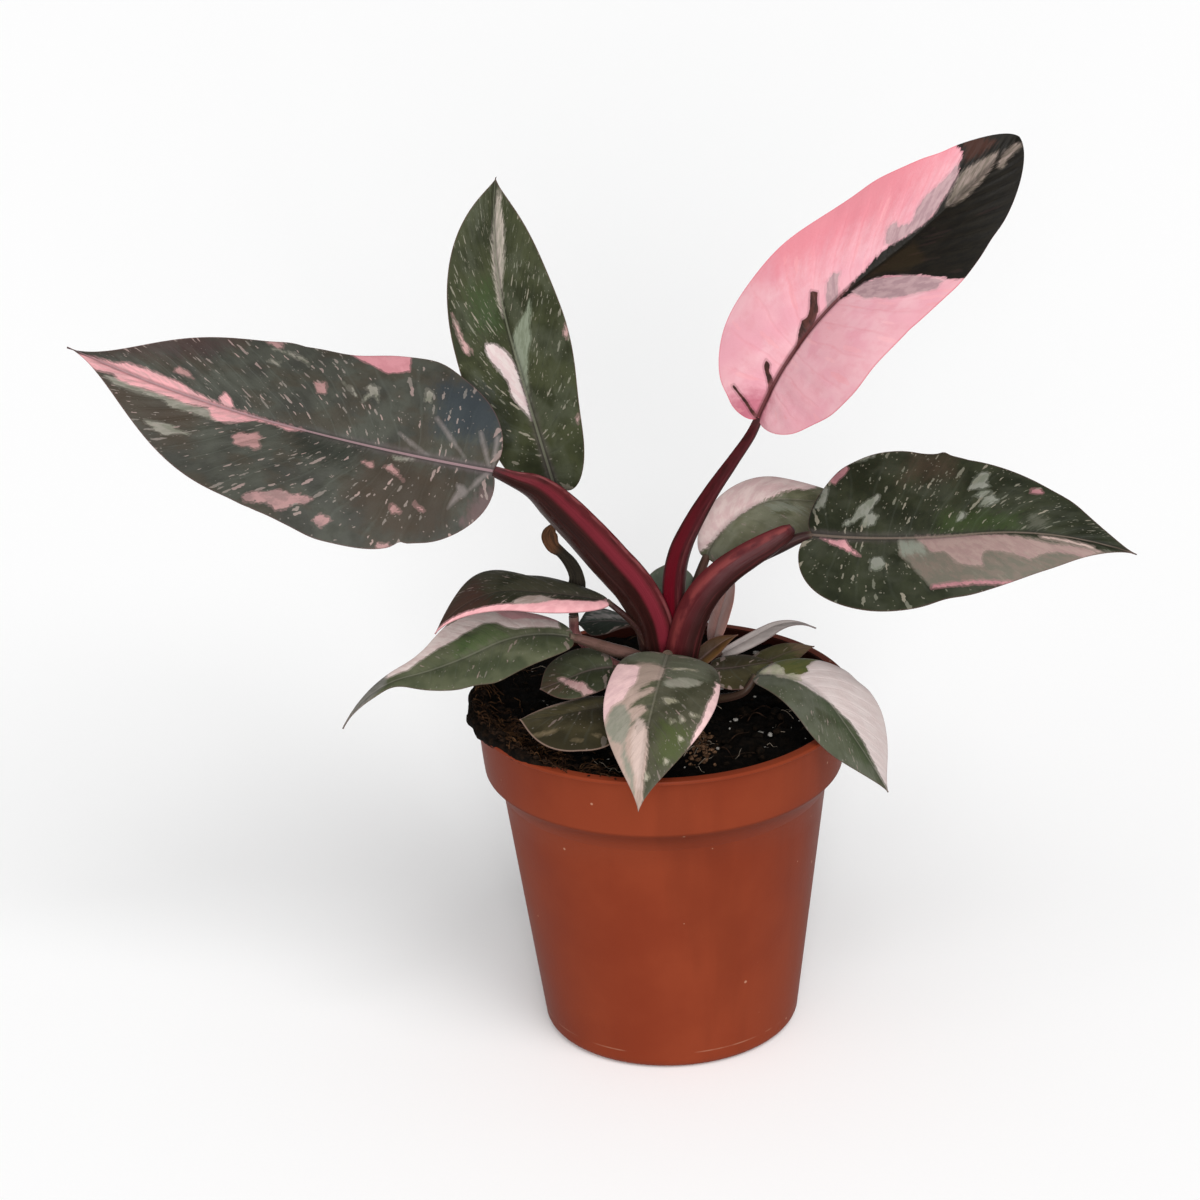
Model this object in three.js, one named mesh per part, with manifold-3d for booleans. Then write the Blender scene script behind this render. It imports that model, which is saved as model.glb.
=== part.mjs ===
// A pink princess philodendron growing in a plastic nursery pot.
// Millimetres, +Z up. The origin is the middle of the pot's underside, on the pot's axis.
import * as THREE from "three";
import { mergeVertices } from "three/addons/utils/BufferGeometryUtils.js";
import Module from "manifold-3d";

const wasm = await Module();
wasm.setup();

// ---- driving dimensions ----

const clearance = 0.3; // gap left between neighbouring pieces

const pot = {
  height: 110,
  rimRadius: 60.2, // over the thin lip
  lipHeight: 1.4,
  collarTop: 58.4, // radius just under the lip
  collarFoot: 56.2, // radius where the shoulder starts
  shoulderTop: 89.5,
  shoulderFoot: 82.2,
  waist: 51, // radius under the shoulder
  foot: 40.6,
  footRound: 3.4,
  wall: 1.5,
  floor: 2,
  drainHoles: 8,
  drainRadius: 3.2,
  drainCircle: 29,
  segments: 48,
};

const soil = {
  level: 107, // mean height of the surface
  rise: 2.4, // how far it climbs to the wall on the left
  dip: 1.4, // depth of its crumbs
  rings: 8,
};

const stem = { radius: 7.4, sink: 12, top: 121, sides: 14 };

const bladeThickness = 0.8;
const midribDepth = 1.1; // how far the midrib stands out below a large blade

// Blades. base is the point where the petiole joins. heading, pitch and roll, in degrees, are
// read at even stations from base to tip: heading turns from +X towards +Y, pitch lifts the
// midrib, and roll turns the blade about it. left and right are the half widths, seen from
// above with the tip ahead. The outline swings back from the base in two lobes, is widest at
// `widest` of the length and runs out in a drip tip. fold lifts each half from the midrib,
// curl bends its margin down again, and wave ripples the margin. A dent [side, place, reach,
// depth] draws the margin in about a place along the length, on the left (1) or right (-1), and
// swells it where the depth is negative.
const largeBlade = { rows: 18, columns: 4, keel: midribDepth, color: 0x2f3a33 };
const smallBlade = { rows: 12, columns: 3, keel: 0.4, color: 0x53604a };
const still = { height: 0, count: 1, phase: 0 };

const blades = {
  blade_left: {
    ...largeBlade,
    base: [-49, -6, 191],
    length: 137,
    heading: [163, 171, 176],
    pitch: [6, 15, 28],
    roll: [-55, -33, -50],
    left: 33.5,
    right: 33,
    widest: 0.34,
    lobe: 0.05,
    lobeSpread: 0.35,
    shoulder: 0.4,
    drip: 0.14,
    dripSpread: 0.06,
    fold: 9,
    curl: -20,
    wave: { height: 1.2, count: 2.4, phase: 30 },
    dents: [
      [1, 20, 6, 1.6],
      [1, 22.6, 1.6, 1.2],
      [1, 48, 5, -0.5],
      [1, 69, 5, -0.8],
      [-1, 25, 8, -1.6],
      [-1, 53, 12.5, 3.6],
      [-1, 73, 5, -0.7],
    ],
  },
  blade_upright: {
    ...largeBlade,
    base: [-31, 30, 171],
    length: 104,
    heading: [188, 191, 179],
    pitch: [76, 78, 97],
    roll: [-94, -94, -108],
    left: 18,
    right: 18,
    widest: 0.46,
    lobe: 0.13,
    lobeSpread: 0.5,
    shoulder: 0.4,
    drip: 0.06,
    dripSpread: 0.12,
    fold: 16,
    curl: -20,
    wave: { height: 0.9, count: 2.2, phase: 200 },
    dents: [[-1, 24, 15, 1.5]],
  },
  blade_pink: {
    ...largeBlade,
    base: [32.5, 4, 201],
    length: 118,
    heading: [0, 1, 12],
    pitch: [68, 37, 44],
    roll: [49, 45, 61],
    left: 24.5,
    right: 28,
    widest: 0.28,
    lobe: 0.04,
    lobeSpread: 0.1,
    shoulder: 0.4,
    drip: 0.01,
    dripSpread: 0.36,
    fold: 22,
    curl: -20,
    wave: { height: 0.9, count: 2.6, phase: 90 },
    dents: [
      [1, 1.5, 2, 1.8],
      [1, 18, 10, -0.9],
      [1, 54, 8, 0.5],
      [1, 77, 8, -0.9],
      [1, 98, 4, 0.8],
      [-1, 8, 7, 2],
      [-1, 32, 8, -1],
      [-1, 78, 7, -0.9],
      [-1, 92, 4, 0.8],
    ],
    color: 0xd98a93,
  },
  blade_right: {
    ...largeBlade,
    base: [48, 2, 162.5],
    length: 102,
    heading: [-29, -11, -16],
    pitch: [4, 8, -17],
    roll: [46, 40, 50],
    left: 30.5,
    right: 24,
    widest: 0.28,
    lobe: 0.07,
    lobeSpread: 0.2,
    shoulder: 0.32,
    drip: 0.11,
    dripSpread: 0.01,
    fold: 8,
    curl: -20,
    wave: { height: 0.8, count: 2.2, phase: 10 },
    dents: [
      [1, 3, 4, -1.2],
      [1, 34, 5, 0.6],
      [1, 41.5, 2, -0.9],
      [1, 60, 12, 0.8],
      [1, 81, 5, -1.8],
      [-1, 3, 9, -0.8],
      [-1, 44, 5, 1],
      [-1, 80, 6, -1],
    ],
  },
  blade_back: {
    ...largeBlade,
    rows: 14,
    base: [16, 24, 147.5],
    length: 69,
    heading: [13, 21, 17],
    pitch: [70, -14, -18],
    roll: [28, 25, 25],
    left: 10.5,
    right: 19,
    widest: 0.38,
    lobe: 0.05,
    lobeSpread: 0.4,
    shoulder: 0.26,
    drip: 0.13,
    dripSpread: 0.11,
    fold: 12,
    curl: -25,
    color: 0xb9a7a2,
  },
  blade_front: {
    ...smallBlade,
    rows: 14,
    base: [2, -14, 131],
    length: 67,
    heading: [-98, -103, -101],
    pitch: [7, -21, -60],
    roll: [-7, 0, 1],
    left: 19,
    right: 15.5,
    widest: 0.39,
    lobe: 0.08,
    lobeSpread: 0.7,
    shoulder: 0.3,
    drip: 0.14,
    dripSpread: 0.12,
    fold: 10,
    curl: -25,
    color: 0x8c8c7f,
  },
  blade_front_right: {
    ...smallBlade,
    rows: 14,
    base: [29.3, -12.5, 122.1],
    length: 59.8,
    heading: [-24, -42, -43],
    pitch: [20, -44, -50],
    roll: [9, 1, 0],
    left: 17.5,
    right: 14,
    widest: 0.49,
    lobe: 0.07,
    lobeSpread: 0.25,
    shoulder: 0.28,
    drip: 0.11,
    dripSpread: 0.13,
    fold: 10,
    curl: -25,
    color: 0xa9a79d,
    dents: [
      [1, 25.5, 2.5, 0.8],
      [1, 36, 6, -0.5],
      [-1, 50, 6, 1],
    ],
  },
  blade_left_upper: {
    ...smallBlade,
    rows: 14,
    base: [-16, -6, 146.5],
    length: 60,
    heading: [195, 199, 204],
    pitch: [19, 13, -50],
    roll: [-9, -11, -10],
    left: 11.5,
    right: 11.5,
    widest: 0.44,
    lobe: 0.06,
    lobeSpread: 0.25,
    shoulder: 0.26,
    drip: 0.13,
    dripSpread: 0.12,
    fold: 10,
    curl: -25,
    dents: [
      [-1, 24, 4, 1.3],
      [-1, 39, 10, -3],
    ],
  },
  blade_left_lower: {
    ...smallBlade,
    rows: 16,
    base: [-28, -14, 138.5],
    length: 79,
    heading: [188, 200, 199],
    pitch: [18, -19, -3, -60],
    roll: [-16, -21, -17],
    left: 14.5,
    right: 13,
    widest: 0.37,
    lobe: 0.07,
    lobeSpread: 0.3,
    shoulder: 0.1,
    drip: 0.31,
    dripSpread: 0.1,
    fold: 10,
    curl: -25,
    dents: [
      [1, 35, 5, 1.6],
      [1, 59, 6, 7],
      [-1, 30, 14, -4.2],
    ],
  },
  blade_crown_left: {
    ...smallBlade,
    base: [-15, -14, 127.5],
    length: 24,
    heading: [193, 197, 195],
    pitch: [8, -16, -10],
    roll: [-22, -18, -23],
    left: 9.5,
    right: 11,
    widest: 0.42,
    lobe: 0.08,
    lobeSpread: 0.6,
    shoulder: 0.44,
    drip: 0.07,
    dripSpread: 0.13,
    fold: 10,
    curl: -25,
  },
  blade_over_soil: {
    ...smallBlade,
    base: [-14.5, -26, 120],
    length: 30,
    heading: [188, 188, 176],
    pitch: [1, -8, -1],
    roll: [-14, -9, -12],
    left: 20,
    right: 7,
    widest: 0.39,
    lobe: 0.08,
    lobeSpread: 0.6,
    shoulder: 0.42,
    drip: 0.07,
    dripSpread: 0.13,
    fold: 10,
    curl: -25,
    color: 0x4d4a38,
  },
  blade_crown_right: {
    ...smallBlade,
    base: [16, -4, 121],
    length: 19,
    heading: [3, 6, 6],
    pitch: [-2, 5, 3],
    roll: [11, 9, 11],
    left: 7.5,
    right: 11.5,
    widest: 0.38,
    lobe: 0.08,
    lobeSpread: 0.6,
    shoulder: 0.32,
    drip: 0.11,
    dripSpread: 0.12,
    fold: 10,
    curl: -25,
  },
  blade_narrow_right: {
    ...smallBlade,
    base: [19.5, 10, 120],
    length: 36,
    heading: [28, 33, 16],
    pitch: [14, 11, -35],
    roll: [42, 39, 40],
    left: 1.8,
    right: 4.6,
    widest: 0.34,
    lobe: 0.08,
    lobeSpread: 0.6,
    shoulder: 0.2,
    drip: 0.16,
    dripSpread: 0.16,
    fold: 40,
    curl: -10,
    color: 0x9c9594,
  },
  blade_olive_right: {
    ...smallBlade,
    rows: 10,
    base: [28, 6, 116.5],
    length: 22,
    heading: [14, 17, 14],
    pitch: [13, 15, -2],
    roll: [17, 17, 19],
    left: 5.5,
    right: 5.5,
    widest: 0.39,
    lobe: 0.08,
    lobeSpread: 0.6,
    shoulder: 0.32,
    drip: 0.11,
    dripSpread: 0.12,
    fold: 10,
    curl: -25,
  },
  blade_crown_back_left: {
    ...smallBlade,
    rows: 10,
    base: [-7, 9, 131.5],
    length: 19,
    heading: [178, 179, 180],
    pitch: [18, 1, -9],
    roll: [-13, -23, -24],
    left: 6,
    right: 6,
    widest: 0.68,
    lobe: 0,
    lobeSpread: 0,
    shoulder: 0.2,
    drip: 0.11,
    dripSpread: 0.12,
    fold: 10,
    curl: -25,
  },
  blade_pale_back: {
    ...smallBlade,
    rows: 10,
    base: [17, 13, 122.5],
    length: 24,
    heading: [60, 58, 58],
    pitch: [60, 52, 46],
    roll: [-45, -45, -50],
    left: 9,
    right: 11,
    widest: 0.45,
    lobe: 0.07,
    lobeSpread: 0.6,
    shoulder: 0.32,
    drip: 0.12,
    dripSpread: 0.12,
    fold: 12,
    curl: -20,
    color: 0xa88f8a,
  },
  blade_crown_back: {
    ...smallBlade,
    rows: 10,
    base: [4.5, 15, 131],
    length: 18,
    heading: [90, 90, 90],
    pitch: [54, 52, 44],
    roll: [0, 0, 0],
    left: 8,
    right: 7.5,
    widest: 0.56,
    lobe: 0.06,
    lobeSpread: 0.5,
    shoulder: 0.3,
    drip: 0.08,
    dripSpread: 0.3,
    fold: 10,
    curl: -20,
  },
  dry_sheath: {
    ...smallBlade,
    rows: 8,
    base: [11.5, 0.5, 121.6],
    length: 16,
    heading: [30, 28, 20],
    pitch: [30, 24, 10],
    roll: [40, 30, 20],
    left: 3.2,
    right: 3.2,
    widest: 0.35,
    lobe: 0,
    lobeSpread: 0.9,
    shoulder: 0.3,
    drip: 0.2,
    dripSpread: 0.3,
    fold: 18,
    curl: 0,
    keel: 0.2,
    color: 0x6b4a35,
  },
};

// Petioles, each named after the blade it carries and running on to that blade's base, where it
// is `end` wide. Each station of a route is [x, y, z, width]. face points out of the channel on
// the petiole's upper side, channel is that channel's depth and keel the thickness under it, both
// as shares of the width.
const wingedPetiole = { sides: 12, channel: 0.24, keel: 0.42 };
const roundPetiole = { sides: 7, channel: 0, keel: 0.5, face: [0, 0, 1] };

const petioles = {
  blade_left: {
    ...wingedPetiole,
    face: [0.5, -0.55, 0.65],
    route: [
      [1, -2, 117, 12],
      [0, -2.2, 127, 13],
      [-2, -2.6, 138, 13.4],
      [-7, -3.2, 149, 13.6],
      [-14, -3.8, 158.5, 13.4],
      [-22, -4.4, 169, 12.6],
      [-30, -4.8, 178.5, 11.4],
      [-36, -5.3, 184.5, 8.6],
      [-43, -5.7, 188, 5.2],
    ],
    end: 3.4,
  },
  blade_pink: {
    ...wingedPetiole,
    channel: 0.1,
    keel: 0.6,
    face: [-0.6, -0.7, 0.2],
    route: [
      [4, 3, 118, 8],
      [4.2, 3, 132, 7.8],
      [4.6, 3.2, 147, 7.3],
      [6.5, 3.3, 157, 6.9],
      [10.5, 3.4, 166, 6],
      [17, 3.6, 177, 4.8],
      [24, 3.8, 187, 3.9],
      [29.5, 3.9, 195, 3.2],
    ],
    end: 2.8,
  },
  blade_right: {
    ...roundPetiole,
    route: [
      [22, 0.5, 151, 5],
      [30, 0.9, 156, 4.8],
      [38, 1.3, 159.6, 4.6],
      [44, 1.8, 161.6, 3.4],
    ],
    end: 2.8,
  },
  blade_upright: {
    ...roundPetiole,
    route: [
      [1, 4, 116, 7],
      [-4, 7, 135, 5.5],
      [-11, 10, 149, 4.8],
      [-22, 19, 160, 4],
      [-28.5, 26.5, 167, 3.2],
    ],
    end: 2.8,
  },
  blade_back: {
    ...roundPetiole,
    route: [
      [5, 4, 117, 6],
      [8, 10, 130, 4],
      [13, 19, 142, 3.2],
    ],
    end: 2.6,
  },
  blade_front: {
    ...roundPetiole,
    route: [
      [2, -3, 118, 6],
      [2, -9, 126, 5],
    ],
    end: 3.4,
  },
  blade_front_right: {
    ...roundPetiole,
    route: [
      [6, -3, 112, 5],
      [15, -9.5, 113.4, 3.2],
      [24.5, -14, 117, 2.6],
    ],
    end: 2.4,
  },
  blade_left_upper: {
    ...roundPetiole,
    route: [
      [-1, -3, 118, 4],
      [-4.6, -6, 132, 2.4],
      [-9, -7.2, 140, 2],
    ],
    end: 1.8,
  },
  blade_left_lower: {
    ...roundPetiole,
    route: [
      [-2, -4, 119, 6],
      [-7, -7.6, 127.4, 4.6],
      [-15.5, -10.4, 132.2, 4],
      [-23, -12.6, 136.2, 3.2],
    ],
    end: 2.4,
  },
  blade_crown_left: {
    ...roundPetiole,
    route: [
      [-3, -4, 114, 5],
      [-8, -9.5, 121, 3],
    ],
    end: 2,
  },
  blade_over_soil: {
    ...roundPetiole,
    route: [
      [-2, -5, 111, 5],
      [-6, -14, 116, 3],
    ],
    end: 2,
  },
  blade_crown_right: {
    ...roundPetiole,
    route: [
      [6, -1, 118, 5],
      [12, -3, 119.5, 3],
    ],
    end: 2,
  },
  blade_narrow_right: {
    ...roundPetiole,
    route: [
      [5, 3, 115, 5],
      [13, 7, 117.6, 2.8],
    ],
    end: 1.8,
  },
  blade_olive_right: {
    ...roundPetiole,
    route: [
      [6, 2, 111, 5],
      [17, 4.4, 112.6, 3],
    ],
    end: 2,
  },
  blade_crown_back_left: {
    ...roundPetiole,
    route: [
      [0, 4, 117, 5],
      [-4, 7.4, 127, 3],
    ],
    end: 1.8,
  },
  blade_pale_back: {
    ...roundPetiole,
    route: [
      [5, 3, 113, 5],
      [11, 8.4, 116, 3.4],
    ],
    end: 2,
  },
  blade_crown_back: {
    ...roundPetiole,
    face: [0, 1, 0.4],
    route: [
      [4, 5, 116, 5],
      [5, 11, 126, 3.4],
    ],
    end: 2,
  },
};

// The sheath of the right blade's petiole, which ends free just short of the blade.
const rightSheath = {
  ...wingedPetiole,
  face: [-0.4, 0.75, 0.5],
  route: [
    [5, -1, 117, 12],
    [7, -0.8, 127, 11.4],
    [10, -0.3, 138, 11.4],
    [14.5, 0, 146.5, 11.2],
    [21, 0.5, 153, 10.6],
    [28, 0.9, 157.6, 9.6],
    [35, 1.3, 161.4, 8.4],
    [40, 1.5, 164.2, 6.2],
    [42, 1.6, 165.6, 3.2],
  ],
};

// The stump of an old petiole, still alive, under the dried stalk.
const stump = {
  ...roundPetiole,
  face: [0, -1, 0],
  route: [
    [-2, 2, 113, 5],
    [-12, 4, 119, 3.2],
    [-21, 4.8, 125, 3],
    [-26, 5, 131, 3],
    [-26.5, 5, 137, 3.2],
  ],
};

// The dead upper part of an old petiole, dried brown, with a shrivelled curl at its end.
const dryStalk = {
  sides: 8,
  channel: 0.1,
  keel: 0.5,
  face: [0, -1, 0],
  route: [
    [-26.5, 5, 137.4, 3.4],
    [-26, 5, 143, 3.8],
    [-25, 5, 149.5, 4.2],
    [-26.4, 5, 154.4, 3.8],
    [-29.4, 5, 158.6, 3.2],
    [-32, 5, 161.2, 4],
    [-32.9, 5, 165, 4.4],
    [-31.6, 5, 168, 1.6],
  ],
};

// ---- small helpers ----

const radians = THREE.MathUtils.degToRad;

// The value at t, from 0 to 1, of a list of evenly spaced stations.
function ramp(stations, t) {
  const at = Math.min(Math.max(t, 0), 1) * (stations.length - 1);
  const i = Math.min(Math.floor(at), stations.length - 2);
  return stations[i] + (stations[i + 1] - stations[i]) * (at - i);
}

function bezier(a, b, c, d, t) {
  const s = 1 - t;
  return a * s ** 3 + 3 * b * s * s * t + 3 * c * s * t * t + d * t ** 3;
}

function geometryOf(points, triangles) {
  const geometry = new THREE.BufferGeometry();
  geometry.setAttribute("position", new THREE.Float32BufferAttribute(points.flat(), 3));
  geometry.setIndex(triangles.flat());
  return geometry;
}

function solidOf(geometry) {
  const bare = geometry.clone();
  bare.deleteAttribute("normal");
  bare.deleteAttribute("uv");
  const merged = mergeVertices(bare, 1e-4);
  const mesh = new wasm.Mesh({
    numProp: 3,
    vertProperties: merged.attributes.position.array,
    triVerts: new Uint32Array(merged.index.array),
  });
  return new wasm.Manifold(mesh);
}

// The largest body of a solid, so that a cut leaves no loose scrap.
function largestBody(solid) {
  const bodies = solid.decompose();
  return bodies.reduce((a, b) => (a.volume() > b.volume() ? a : b));
}

function meshOf(name, shape, finish) {
  let geometry = shape;
  if (!shape.isBufferGeometry) {
    const { vertProperties, triVerts } = shape.getMesh();
    geometry = new THREE.BufferGeometry();
    geometry.setAttribute("position", new THREE.BufferAttribute(vertProperties, 3));
    geometry.setIndex(new THREE.BufferAttribute(triVerts, 1));
  }
  geometry.computeVertexNormals();
  const mesh = new THREE.Mesh(geometry, new THREE.MeshStandardMaterial(finish));
  mesh.name = name;
  return mesh;
}

// ---- blades ----

// The midrib's frame at t of a blade's length: the point, and the directions along the midrib,
// to the blade's left and out of its upper face.
function bladeFrames(blade) {
  const steps = 48;
  const directions = (t) => {
    const heading = radians(ramp(blade.heading, t));
    const pitch = radians(ramp(blade.pitch, t));
    const roll = radians(ramp(blade.roll, t));
    const along = new THREE.Vector3(
      Math.cos(pitch) * Math.cos(heading),
      Math.cos(pitch) * Math.sin(heading),
      Math.sin(pitch),
    );
    const level = new THREE.Vector3(-Math.sin(heading), Math.cos(heading), 0);
    const left = level.applyAxisAngle(along, roll);
    return { along, left, up: along.clone().cross(left) };
  };
  const midrib = [new THREE.Vector3(...blade.base)];
  for (let i = 0; i < steps; i++) {
    const { along } = directions((i + 0.5) / steps);
    midrib.push(midrib[i].clone().addScaledVector(along, blade.length / steps));
  }
  return (t) => {
    const inside = Math.min(Math.max(t, 0), 1);
    const i = Math.min(Math.floor(inside * steps), steps - 1);
    const frame = directions(inside);
    const point = midrib[i].clone().lerp(midrib[i + 1], inside * steps - i);
    point.addScaledVector(frame.along, (t - inside) * blade.length); // the lobes lie behind the base
    return { point, ...frame };
  };
}

// A point of the blade's outline, q running from the base (0) round the margin to the tip (1):
// its place along the length, and across it as a share of the half width.
function outlineAt(blade, q) {
  const lobeEnd = 0.42; // the share of q spent on the lobe, up to the widest place
  const { widest, lobe, lobeSpread, shoulder, drip, dripSpread } = blade;
  if (q < lobeEnd) {
    const t = q / lobeEnd;
    return [bezier(0, -lobe, widest - 0.28, widest, t), bezier(0, lobeSpread, 1, 1, t)];
  }
  const t = (q - lobeEnd) / (1 - lobeEnd);
  return [bezier(widest, widest + shoulder, 1 - drip, 1, t), bezier(1, 1, dripSpread, 0, t)];
}

// The half width on one side, at the place along the length where the margin is: the blade's
// own, less its dents.
function halfWidthAt(blade, side, reach) {
  let width = side > 0 ? blade.left : blade.right;
  for (const [dentSide, at, spread, depth] of blade.dents ?? []) {
    if (dentSide === side) width -= depth * Math.exp(-(((reach * blade.length - at) / spread) ** 2));
  }
  return width;
}

// A blade as a thin closed shell. Each row follows a side vein, from its place on the midrib
// (v = 0) forward to the margin (v = 1). grow thickens and widens it, for cutting a clearance.
function bladeGeometry(blade, grow = 0) {
  const { rows, columns, fold, curl, keel, length, wave = still } = blade;
  const frameAt = bladeFrames(blade);
  const points = [];
  const addPair = (along, across, side, v) => {
    const { point, left, up } = frameAt(along);
    const slope = radians(fold + 0.5 * curl * v);
    const turn = radians(fold + curl * v);
    const swing = 2 * Math.PI * wave.count * along + radians(wave.phase) + (side < 0 ? 1.7 : 0);
    const ripple = wave.height * v * v * Math.sin(swing);
    const half = bladeThickness / 2 + grow;
    point.addScaledVector(left, side * across * Math.cos(slope));
    point.addScaledVector(up, across * Math.sin(slope) + ripple);
    const normal = up.clone().multiplyScalar(Math.cos(turn)).addScaledVector(left, -side * Math.sin(turn));
    if (v === 0) normal.copy(up);
    const rib = v === 0 ? keel * (1 - 0.8 * Math.max(along, 0)) : 0;
    const top = point.clone().addScaledVector(normal, half);
    const under = point.clone().addScaledVector(normal, -half - rib);
    points.push(top.toArray(), under.toArray());
    return points.length / 2 - 1;
  };

  const base = addPair((-2 * grow) / length, 0, 1, 0);
  const tip = addPair(1 + grow / length, 0, 1, 0);
  const midrib = [];
  for (let i = 1; i < rows; i++) midrib.push(addPair((i / rows) ** 1.75, 0, 1, 0));
  const triangles = [];
  const sheet = (a, b, c, side) => {
    const [p, q, r] = side > 0 ? [a, b, c] : [a, c, b];
    triangles.push([2 * p, 2 * q, 2 * r], [2 * p + 1, 2 * r + 1, 2 * q + 1]);
  };
  const edge = (a, b, side) => {
    const [p, q] = side > 0 ? [a, b] : [b, a];
    triangles.push([2 * p, 2 * q, 2 * q + 1], [2 * p, 2 * q + 1, 2 * p + 1]);
  };
  for (const side of [1, -1]) {
    const veins = midrib.map((start, i) => {
      const q = (i + 1) / rows;
      const from = q ** 1.75;
      const [reach, share] = outlineAt(blade, q);
      const halfWidth = halfWidthAt(blade, side, reach);
      const vein = [start];
      const stretch = 1 + grow / Math.hypot((reach - from) * length, share * halfWidth);
      for (let j = 1; j <= columns; j++) {
        const v = j / columns;
        const along = from + (reach - from) * (v * stretch) ** 1.3;
        vein.push(addPair(along, share * halfWidth * v * stretch, side, v));
      }
      return vein;
    });
    for (let j = 0; j < columns; j++) {
      sheet(base, veins[0][j], veins[0][j + 1], side);
      sheet(tip, veins.at(-1)[j + 1], veins.at(-1)[j], side);
    }
    for (let i = 0; i + 1 < veins.length; i++) {
      for (let j = 0; j < columns; j++) {
        sheet(veins[i][j], veins[i + 1][j], veins[i + 1][j + 1], side);
        sheet(veins[i][j], veins[i + 1][j + 1], veins[i][j + 1], side);
      }
    }
    const margin = [base, ...veins.map((vein) => vein.at(-1)), tip];
    for (let i = 0; i + 1 < margin.length; i++) edge(margin[i], margin[i + 1], side);
  }
  return geometryOf(points, triangles);
}

// ---- petioles and stem ----

// A petiole: a channelled section swept along its route, closed at both ends.
function petioleGeometry({ sides, channel, keel, face, route }, steps = route.length + 3) {
  const stations = route.map((s) => new THREE.Vector3(...s));
  const curve = new THREE.CatmullRomCurve3(stations, false, "catmullrom", 0.5);
  const widths = route.map((s) => s[3]);
  const points = [];
  const triangles = [];
  for (let i = 0; i <= steps; i++) {
    const t = i / steps;
    const ahead = curve.getTangent(t);
    const up = new THREE.Vector3(...face);
    up.addScaledVector(ahead, -up.dot(ahead)).normalize();
    const left = up.clone().cross(ahead);
    const width = ramp(widths, t);
    const centre = curve.getPoint(t);
    for (let j = 0; j < sides; j++) {
      const angle = (2 * Math.PI * j) / sides;
      const x = Math.cos(angle);
      const dish = channel * width * (x * x - 0.5);
      const depth = keel * width * Math.sin(angle) * (angle < Math.PI ? 0.35 + (channel ? 0 : 0.65) : 1);
      const at = centre.clone().addScaledVector(left, (x * width) / 2).addScaledVector(up, dish + depth);
      points.push(at.toArray());
    }
  }
  const ring = (i, j) => i * sides + (j % sides);
  for (let i = 0; i < steps; i++) {
    for (let j = 0; j < sides; j++) {
      triangles.push([ring(i, j), ring(i, j + 1), ring(i + 1, j + 1)]);
      triangles.push([ring(i, j), ring(i + 1, j + 1), ring(i + 1, j)]);
    }
  }
  for (let j = 1; j + 1 < sides; j++) {
    triangles.push([ring(0, 0), ring(0, j + 1), ring(0, j)]);
    triangles.push([ring(steps, 0), ring(steps, j), ring(steps, j + 1)]);
  }
  return geometryOf(points, triangles);
}

// The short stem that all the petioles grow from, set in the soil.
function stemSolid() {
  const { radius, sink, top, sides } = stem;
  const profile = [
    [0, soil.level - sink],
    [radius * 0.8, soil.level - sink],
    [radius, soil.level - sink + 2],
    [radius, top - 6],
    [radius * 0.7, top - 1],
    [0, top],
  ].map(([r, z]) => new THREE.Vector2(r, z));
  const lathe = new THREE.LatheGeometry(profile, sides).rotateX(Math.PI / 2);
  let whole = solidOf(lathe.translate(3, 0, 0));
  const shoots = Object.entries(petioles).map(([name, { route, end, ...section }]) => ({
    ...section,
    route: [...route, [...blades[name].base, end]],
  }));
  for (const shoot of [...shoots, rightSheath, stump]) {
    whole = whole.add(solidOf(petioleGeometry(shoot)));
  }
  for (const blade of Object.values(blades)) {
    whole = whole.subtract(solidOf(bladeGeometry(blade, clearance)));
  }
  return largestBody(whole);
}

// ---- pot and soil ----

function potProfile() {
  const { height, rimRadius, lipHeight, collarTop, collarFoot } = pot;
  const { shoulderTop, shoulderFoot, waist, foot, footRound } = pot;
  const round = (share) => [
    foot - footRound * (1 - Math.cos(share * Math.PI * 0.5)),
    footRound * (1 - Math.sin(share * Math.PI * 0.5)),
  ];
  return [
    round(1),
    round(0.6),
    round(0.25),
    [foot, footRound],
    [waist, shoulderFoot],
    [waist + 0.7, shoulderFoot + 0.9],
    [waist + 2.5, shoulderFoot + 2.6],
    [waist + 4.3, shoulderTop - 2.5],
    [collarFoot, shoulderTop],
    [collarTop, height - lipHeight - 0.4],
    [rimRadius, height - lipHeight],
    [rimRadius, height - 0.4],
    [rimRadius - 0.4, height],
  ];
}

// The inside of the pot, from the rim down: the outer profile moved in by the wall.
function innerProfile(gap = 0) {
  const inside = pot.wall + gap;
  return [
    [pot.collarTop - inside, pot.height],
    [pot.collarFoot - inside, pot.shoulderTop + 0.5],
    [pot.waist - inside, pot.shoulderFoot - 1],
    [pot.foot - inside, pot.floor + 2 + gap],
    [pot.foot - inside - 2, pot.floor + gap],
  ];
}

function potSolid() {
  const profile = [[0, 0], ...potProfile(), ...innerProfile(), [0, pot.floor]];
  const lathe = new THREE.LatheGeometry(
    profile.map(([r, z]) => new THREE.Vector2(r, z)),
    pot.segments,
  ).rotateX(Math.PI / 2);
  let shell = solidOf(lathe);
  for (let i = 0; i < pot.drainHoles; i++) {
    const angle = (2 * Math.PI * i) / pot.drainHoles;
    const drill = new THREE.CylinderGeometry(pot.drainRadius, pot.drainRadius, 4 * pot.floor, 10);
    drill.rotateX(Math.PI / 2);
    drill.translate(pot.drainCircle * Math.cos(angle), pot.drainCircle * Math.sin(angle), pot.floor / 2);
    shell = shell.subtract(solidOf(drill));
  }
  return shell;
}

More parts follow.
